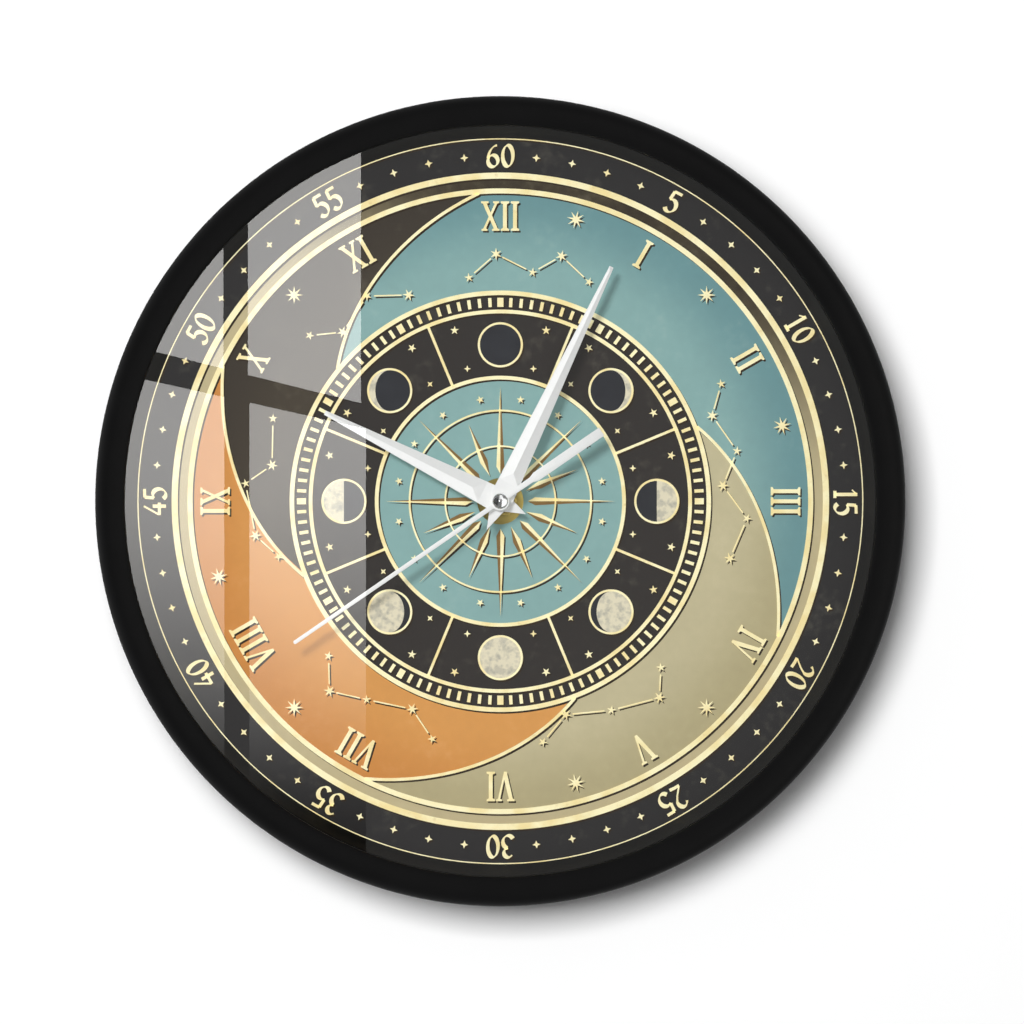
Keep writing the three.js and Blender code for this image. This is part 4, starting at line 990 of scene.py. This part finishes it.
# %% Back plate and hanger
BACK_RADIUS, WINDOW, HANGER_Y, RIB = 147.3, 30.5, 118.1, 1.6
hanger_screws = [(-17, HANGER_Y), (17, HANGER_Y)]
back = Piece().sheet(
    [
        circle(BACK_RADIUS, steps=SMOOTH), rounded(-WINDOW, WINDOW, -WINDOW, WINDOW, 4),
        rounded(-7.5, 7.5, 105.6, 126.1, 3),
        *(circle(PILOT, centre, 32) for centre in boss_places + hanger_screws),
    ],
    BACK_REAR, BACK_FRONT, EDGE,
)
for step in range(6):
    rib = stroke([polar(46.2, 30 + 60 * step), polar(134, 30 + 60 * step)], RIB)
    back.prism(rib, BACK_FRONT - 0.2, BACK_FRONT + 3)
back.make("back_moulding", look["shell_black"], ["back_plate"])

KEYHOLE, SLOT = 4.5, 2.3  # radius of the hole and half the width of its slot
hanger_rear, hanger_front = levels("hanger_plate")
meet = degrees(acos(SLOT / KEYHOLE))
keyhole = arc((0, HANGER_Y - 5), KEYHOLE, KEYHOLE, 180 - meet, 360 + meet, 40)
keyhole += [(SLOT, HANGER_Y + 5), (-SLOT, HANGER_Y + 5)]
hanger = Piece().sheet(
    [
        rounded(-22, 22, HANGER_Y - 11, HANGER_Y + 11, 3), keyhole,
        *(circle(PILOT, centre, 32) for centre in hanger_screws),
    ],
    hanger_rear, hanger_front, 0.15,
)
hanger.make("keyhole_hanger", look["zinc_steel"], ["hanger_plate"])

# %% Screws
CORE, THREAD_DEPTH, THREAD_STEP, POINT = 1.1, 0.22, 0.3, 1.2
CROSS_REAR, CROSS_FLOOR = -2.0, -0.75  # levels of the recess, from the screw's seat
HEAD = [
    (0, -1.5), (0.9, -1.48), (1.7, -1.28), (2.15, -0.9), (2.3, -0.5), (2.3, -0.35), (2.2, -0.3), (CORE, -0.3),
]


def cross_head_screw(length):
    """A pan-head screw that points along +z from its seat at 0, as points and faces."""
    turns = int((length - POINT) / THREAD_STEP)
    shank = [(CORE - THREAD_DEPTH * (i % 2), -0.1 + THREAD_STEP * i) for i in range(turns)]
    blank = Piece().lathe([*HEAD, *shank, (0, length)], 40)
    cross = Piece()
    for wide, high in ((0.32, 1.3), (1.3, 0.32)):
        bar = [(-wide, -high), (wide, -high), (wide, high), (-wide, high)]
        cross.prism(bar, CROSS_REAR, CROSS_FLOOR)
    screw, cutter = (new_object("blank", part.points, part.faces) for part in (blank, cross))
    for part in (screw, cutter):
        face_outwards(part.data)
    recess = screw.modifiers.new("recess", "BOOLEAN")
    recess.object = cutter
    recess.use_self = True
    bpy.context.view_layer.update()
    done = screw.evaluated_get(bpy.context.evaluated_depsgraph_get()).to_mesh()
    points = [tuple(vert.co) for vert in done.vertices]
    faces = [list(face.vertices) for face in done.polygons]
    for used in (screw, cutter):
        bpy.data.objects.remove(used)
    return points, faces


def make_screw(name, node, points, faces):
    Piece().add(points, faces).make(name, look["zinc_steel"], [node], sharp=25)


points, faces = cross_head_screw(10)
for step in range(6):
    sx, sy = polar(BOSS_CIRCLE, 90 - 60 * step)
    moved = [(px + sx, py + sy, pz + BACK_REAR) for px, py, pz in points]
    make_screw(f"plate_screw_{step + 1}", f"back_screw_{step + 1}", moved, faces)
points, faces = cross_head_screw(3)
for end, (sx, sy) in zip(("left", "right"), hanger_screws):
    flipped = [(px + sx, -py + sy, hanger_front - pz) for px, py, pz in points]
    make_screw(f"keyhole_screw_{end}", f"hanger_screw_{end}", flipped, faces)

# %% [markdown]
# ## Battery, knob and marks
#
# The cell has a printed sleeve that shrinks over the ends of its steel can, so the finish changes along its
# length. The knob that sets the hands is ridged for the fingers. Moulded signs beside the bay tell which way
# round the cell goes, and an arrow shows the way the knob turns.

# %% Battery
SLEEVE, STRIPE = (-24.6, 23.6), (12.0, 13.2)  # where they start and end along the cell
cell_wrap = Finish("cell_wrap")
along, _, _ = cell_wrap.axes()
sleeve = (along > SLEEVE[0]) * (along < SLEEVE[1])
scuffs = cell_wrap.between(cell_wrap.noise(5.0, 5), 0.5, 0.8)
wrap = cell_wrap.mix(cell_wrap.noise(8, 3), (0.012, 0.055, 0.038), (0.020, 0.075, 0.052))
wrap = cell_wrap.mix(along > STRIPE[1], wrap, (0.42, 0.43, 0.44))
wrap = cell_wrap.mix((along > STRIPE[0]) * (along < STRIPE[1]), wrap, (0.66, 0.50, 0.14))
cell_wrap.wire(
    Base_Color=cell_wrap.mix(sleeve * (1 - 0.05 * scuffs), (0.60, 0.60, 0.61), wrap),
    Metallic=1 - 0.85 * sleeve,
    Roughness=0.28 + 0.25 * scuffs,
)

CAN = 7.1
_, cell_y, cell_z = middle("battery")
end = reach("battery")
minus_end = [(0, 0), (4.6, 0), (4.9, 0.25), (5.6, 0.3), (6.2, 0.05), (6.8, 0.2), (7.05, 0.55), (CAN, 1.0)]
plus_end = [
    (CAN, 2.4), (7.0, 1.75), (6.6, 1.4), (5.6, 1.25), (4.0, 1.2), (2.75, 1.15), (2.6, 0.9), (2.55, 0.3),
    (2.3, 0.05), (0, 0),
]
profile = [(radius, -end + inward) for radius, inward in minus_end]
profile += [(radius, end - inward) for radius, inward in plus_end]
cell = Piece().lathe(profile, 72).moved(lambda px, py, pz: (pz, px + cell_y, py + cell_z))
cell.make("dry_cell", cell_wrap, ["battery"], "battery_body", sharp=40)

# %% Knob
RIDGES, RIDGE_STEPS, KNOB, RIDGE = 20, 160, 4.78, 0.2
knob_rear, knob_front = levels("setting_knob")
knob_x, knob_y, _ = middle("setting_knob")
ridges = []
for step in range(RIDGE_STEPS):
    angle = tau * step / RIDGE_STEPS
    lobe = KNOB + RIDGE * cos(RIDGES * angle)
    ridges.append((knob_x + lobe * cos(angle), knob_y + lobe * sin(angle)))
knob = Piece().sheet([ridges], knob_rear + 0.35, knob_front, 0.2)
knob.lathe([
    (0, knob_rear), (2.6, knob_rear), (3.3, knob_rear + 0.12), (3.6, knob_rear + 0.45),
    (3.6, knob_rear + 0.7), (0, knob_rear + 0.7),
], 64, (knob_x, knob_y))
knob.make("setting_dial", look["red_nylon"], ["setting_knob"], "works_body", sharp=30)

# %% Moulded signs
LINE, ARM, SIGN_X, SIGN_RISE, SIGN_HEIGHT = 1.1, 2.3, 20.5, 4.2, 0.3
ARROW, ARROW_HEAD, ARROW_START, ARROW_END, ARROW_TIP = 8.2, 2, 100, 214, 232
knob_centre = (knob_x, knob_y)
inner, outer = ribbon(arc(knob_centre, ARROW, ARROW, ARROW_START, ARROW_END, 20), LINE)
corners = ((ARROW - ARROW_HEAD, ARROW_END), (ARROW, ARROW_TIP), (ARROW + ARROW_HEAD, ARROW_END))
head = [arc(knob_centre, away, away, angle, angle, 1)[0] for away, angle in corners]
half = LINE / 2
plus = []
for step in range(4):
    plus += turned([(half, half), (half, ARM), (-half, ARM)], -90 * step)
minus = [(-ARM, -half), (ARM, -half), (ARM, half), (-ARM, half)]
cover_rear = levels("movement_cover")[0]
sign_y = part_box("movement_cover")[0].z / MM + SIGN_RISE
signs = Piece()
for outline in (
    inner + head + outer[::-1], shifted(plus, (SIGN_X, sign_y)), shifted(minus, (-SIGN_X, sign_y)),
):
    signs.prism(outline, cover_rear - SIGN_HEIGHT, cover_rear + 0.05)
signs.make("moulded_signs", look["movement_black"])

# %% [markdown]
# ## What stays as it was
#
# The wheels, the motor and the inner mouldings already have their real shapes as solids, and nothing shows
# them until the movement is opened. They keep their solids and only get a finish.

# %% Finishes for the inner solids
DRESSED = {
    "charcoal_plastic": ["retaining_ring"],
    "movement_black": ["movement_case", "movement_cover"],
    "black_rubber": ["rubber_washer"],
    "zinc_steel": ["contact_positive", "contact_negative", "quartz_crystal", "stator", "coil_core"],
    "circuit_resin": ["circuit_board"],
    "white_nylon": [
        "coil_bobbin", "rotor", "intermediate_wheel", "second_wheel", "third_wheel", "center_wheel",
        "works_wheel", "hour_wheel",
    ],
    "copper_wire": ["coil_winding"],
    "ferrite": ["rotor_magnet"],
    "brass": ["clutch_spring", "cannon_pinion"],
}
for name, nodes in DRESSED.items():
    for node in nodes:
        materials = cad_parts[node].data.materials
        materials.clear()
        materials.append(look[name].material)
print("solids dressed:", sum(len(nodes) for nodes in DRESSED.values()))

# %% [markdown]
# ## Wall, lamps and the window in the glass
#
# The clock hangs on a white wall, which shows only from its front, so that the back can be looked at too. In
# the glass one sees a window with four panes behind the viewer: glowing cards in a dim room, which only
# mirrors see. Wider cards beside them give the chromed cap its light and dark patches.
#
# The shadow on the wall is short and the hands' shadows are long, so each has a lamp of its own: one lights
# the wall alone, the other the clock. A third, low at the left and without shadows, brings out the folds of
# the hands, and the world fills in the rest.

# %% Wall
def card(name, corners, finish):
    made = new_object(name, [upright(corner) for corner in corners], [[0, 1, 2, 3]])
    made.data.materials.append(finish.material)
    return made


def flat(x0, x1, y0, y1, z):
    return [(x0, y0, z), (x1, y0, z), (x1, y1, z), (x0, y1, z)]


WALL = 2500
paint = Finish("wall_paint", Roughness=0.9, Specular_IOR_Level=0.1)
paint.wire(Base_Color=paint.mix(paint.noise(60, 3), (0.985, 0.985, 0.985), (1.0, 1.0, 1.0)))
seen_from_behind = paint.node("ShaderNodeNewGeometry", out="Backfacing")
nothing = paint.node("ShaderNodeBsdfTransparent")
painted = Wire(paint, paint.shader.outputs[0])
paint.surface(
    paint.node("ShaderNodeMixShader", None, {0: seen_from_behind, 1: painted, 2: nothing})
)
wall = card("wall", flat(-WALL, WALL, -WALL, WALL, -0.5), paint)
wall.visible_shadow = wall.visible_diffuse = wall.visible_glossy = False
print("wall faces", tuple(round(value, 2) for value in wall.data.polygons[0].normal))

# %% Camera
LENS, SENSOR, IMAGE = 225.0, 36.0, 1024
SCALE = 405.2 / 150  # pixels for a millimetre at the rim's outer edge
CENTRE = (500.3, 501.2)  # of the clock, in the image
camera_data = bpy.data.cameras.new("viewer")
camera_data.lens, camera_data.sensor_width = LENS, SENSOR
camera = put("viewer", camera_data)
distance = LENS / SENSOR * IMAGE / SCALE
view_x, view_y = (IMAGE / 2 - CENTRE[0]) / SCALE, (CENTRE[1] - IMAGE / 2) / SCALE
view_z = distance + rim_front - OUTER_RISE
camera.location = upright((view_x, view_y, view_z))
camera.rotation_euler = (pi / 2, 0, 0)
camera_data.clip_end = 20
bpy.context.scene.camera = camera
print("camera", round(distance), "mm in front of the rim")

# %% Glowing cards
CARD_Z = view_z + 60
DAYLIGHT = (1.0, 0.985, 0.965)
spread = 1 + (CARD_Z - glass_front) / (view_z - glass_front)


def behind_viewer(px, py, depth=0.0):
    """Where a card has to be so that the glass shows it at this place in the image."""
    gx, gy = (px - CENTRE[0]) / SCALE, (CENTRE[1] - py) / SCALE
    return (view_x + (gx - view_x) * spread, view_y + (gy - view_y) * spread, CARD_Z + depth)


def glow(name, strength, fade=None):
    finish = Finish(name)
    finish.tree.nodes.remove(finish.shader)
    colour = DAYLIGHT
    if fade:
        _, height, _ = finish.axes()
        colour = finish.mix(finish.between(height, *fade), (0.0, 0.0, 0.0), DAYLIGHT)
    return finish.surface(finish.node("ShaderNodeEmission", None, {"Color": colour, "Strength": strength}))


print("cards stand", round(CARD_Z), "mm from the wall and are", round(spread, 3), "times as large as shown")

# %% Window, room and screens
TOP, BOTTOM, FADE_LOW, FADE_HIGH = 40, 900, 840, 430  # in the image, as all places of the panes


def sill(px):
    return 375.1 + 0.25 * (px - 248.9)


def head_of_pane(px):
    return 397.2 + 0.2225 * (px - 224.7)


upper_glow = glow("window_upper", 3.9)
lower_glow = glow("window_lower", 3.6, [behind_viewer(0, py)[1] for py in (FADE_LOW, FADE_HIGH)])
cards = []
for x0, x1 in ((60, 223.5), (248, 361)):
    corners = ((x0, sill(x0)), (x1, sill(x1)), (x1, TOP), (x0, TOP))
    cards.append(card(f"upper_pane_{x0}", [behind_viewer(*place) for place in corners], upper_glow))
for x0, x1 in ((60, 224.5), (249.5, 366)):
    corners = ((x0, BOTTOM), (x1, BOTTOM), (x1, head_of_pane(x1)), (x0, head_of_pane(x0)))
    cards.append(card(f"lower_pane_{x0}", [behind_viewer(*place) for place in corners], lower_glow))
corners = ((-9500, 10500), (10500, 10500), (10500, -9500), (-9500, -9500))
cards.append(card("room", [behind_viewer(*place, 5.0) for place in corners], glow("dim_room", 0.20)))
SCREENS = [  # in millimetres, with the strength of the glow
    ("white_screen", 420, 5000, -2600, 900, 1.5), ("bright_ceiling", -250, 900, 520, 3200, 1.2),
    ("dark_doorway", -5000, -600, -1300, 1300, 0.0),
]
for name, x0, x1, y0, y1, strength in SCREENS:
    cards.append(card(name, flat(x0, x1, y0, y1, CARD_Z + 2), glow(name, strength)))
for shown in cards:
    shown.visible_camera = shown.visible_diffuse = shown.visible_shadow = False
    shown.visible_transmission = shown.visible_volume_scatter = False
print("cards behind the viewer:", len(cards))

# %% Lamps
def lamp(name, place, aim, size, power, shadow=True):
    data = bpy.data.lights.new(name, "AREA")
    data.shape = "SQUARE"
    data.size, data.energy = size, power
    data.use_shadow = shadow
    made = put(name, data)
    made.location = upright(place)
    way = [b - a for a, b in zip(upright(place), upright(aim))]
    made.rotation_euler = Vector(way).to_track_quat("-Z", "Y").to_euler()
    made.visible_glossy = False
    return made


def light_group(name, objects, state="INCLUDE"):
    """A collection that tells a lamp what to light, or what blocks it."""
    group = bpy.data.collections.new(name)
    for entry in objects:
        group.objects.link(entry)
    for entry in group.collection_objects:
        entry.light_linking.link_state = state
    return group


DIAL_CENTRE = (0, 0, 20)
not_the_wall = light_group("not the wall", [wall], "EXCLUDE")
wall_lamp = lamp("wall_lamp", (-405, 405, 2400), DIAL_CENTRE, 0.85, 56)
wall_lamp.light_linking.receiver_collection = light_group("wall alone", [wall])
dial_lamp = lamp("dial_lamp", (-1400, 1750, 3100), DIAL_CENTRE, 1.1, 107)
dial_lamp.light_linking.receiver_collection = not_the_wall
dial_lamp.light_linking.blocker_collection = light_group("hands", [hour_blade, minute_blade, second_rod])
low_left = lamp("low_left", (-2750, -1250, 860), DIAL_CENTRE, 1.2, 125, shadow=False)
low_left.light_linking.receiver_collection = not_the_wall
rear_fill = lamp("rear_fill", (900, 1100, -2200), (0, 0, 0), 1.6, 38)
print("lamps:", ", ".join(made.name for made in (wall_lamp, dial_lamp, low_left, rear_fill)))

# %% World
AMBIENT, PALE = 0.21, 0.9
world = bpy.data.worlds.new("studio")
bpy.context.scene.world = world
world.use_nodes = True
sky = Board(world.node_tree)
rays = sky.node("ShaderNodeLightPath").socket.node.outputs
straight = Wire(sky, rays["Is Camera Ray"]) + Wire(sky, rays["Is Glossy Ray"])
straight = straight + Wire(sky, rays["Is Transmission Ray"])
background = world.node_tree.nodes["Background"]
background.inputs["Color"].default_value = (1, 1, 1, 1)
sky.feed(background.inputs["Strength"], AMBIENT + (PALE - AMBIENT) * (straight > 0.5))
print("world light", AMBIENT, "and", PALE, "where it is seen")

# %% [markdown]
# ## Finish
#
# The colours are shown as they are written, without a film look.

# %% Finish
bpy.context.scene.view_settings.view_transform = "Standard"
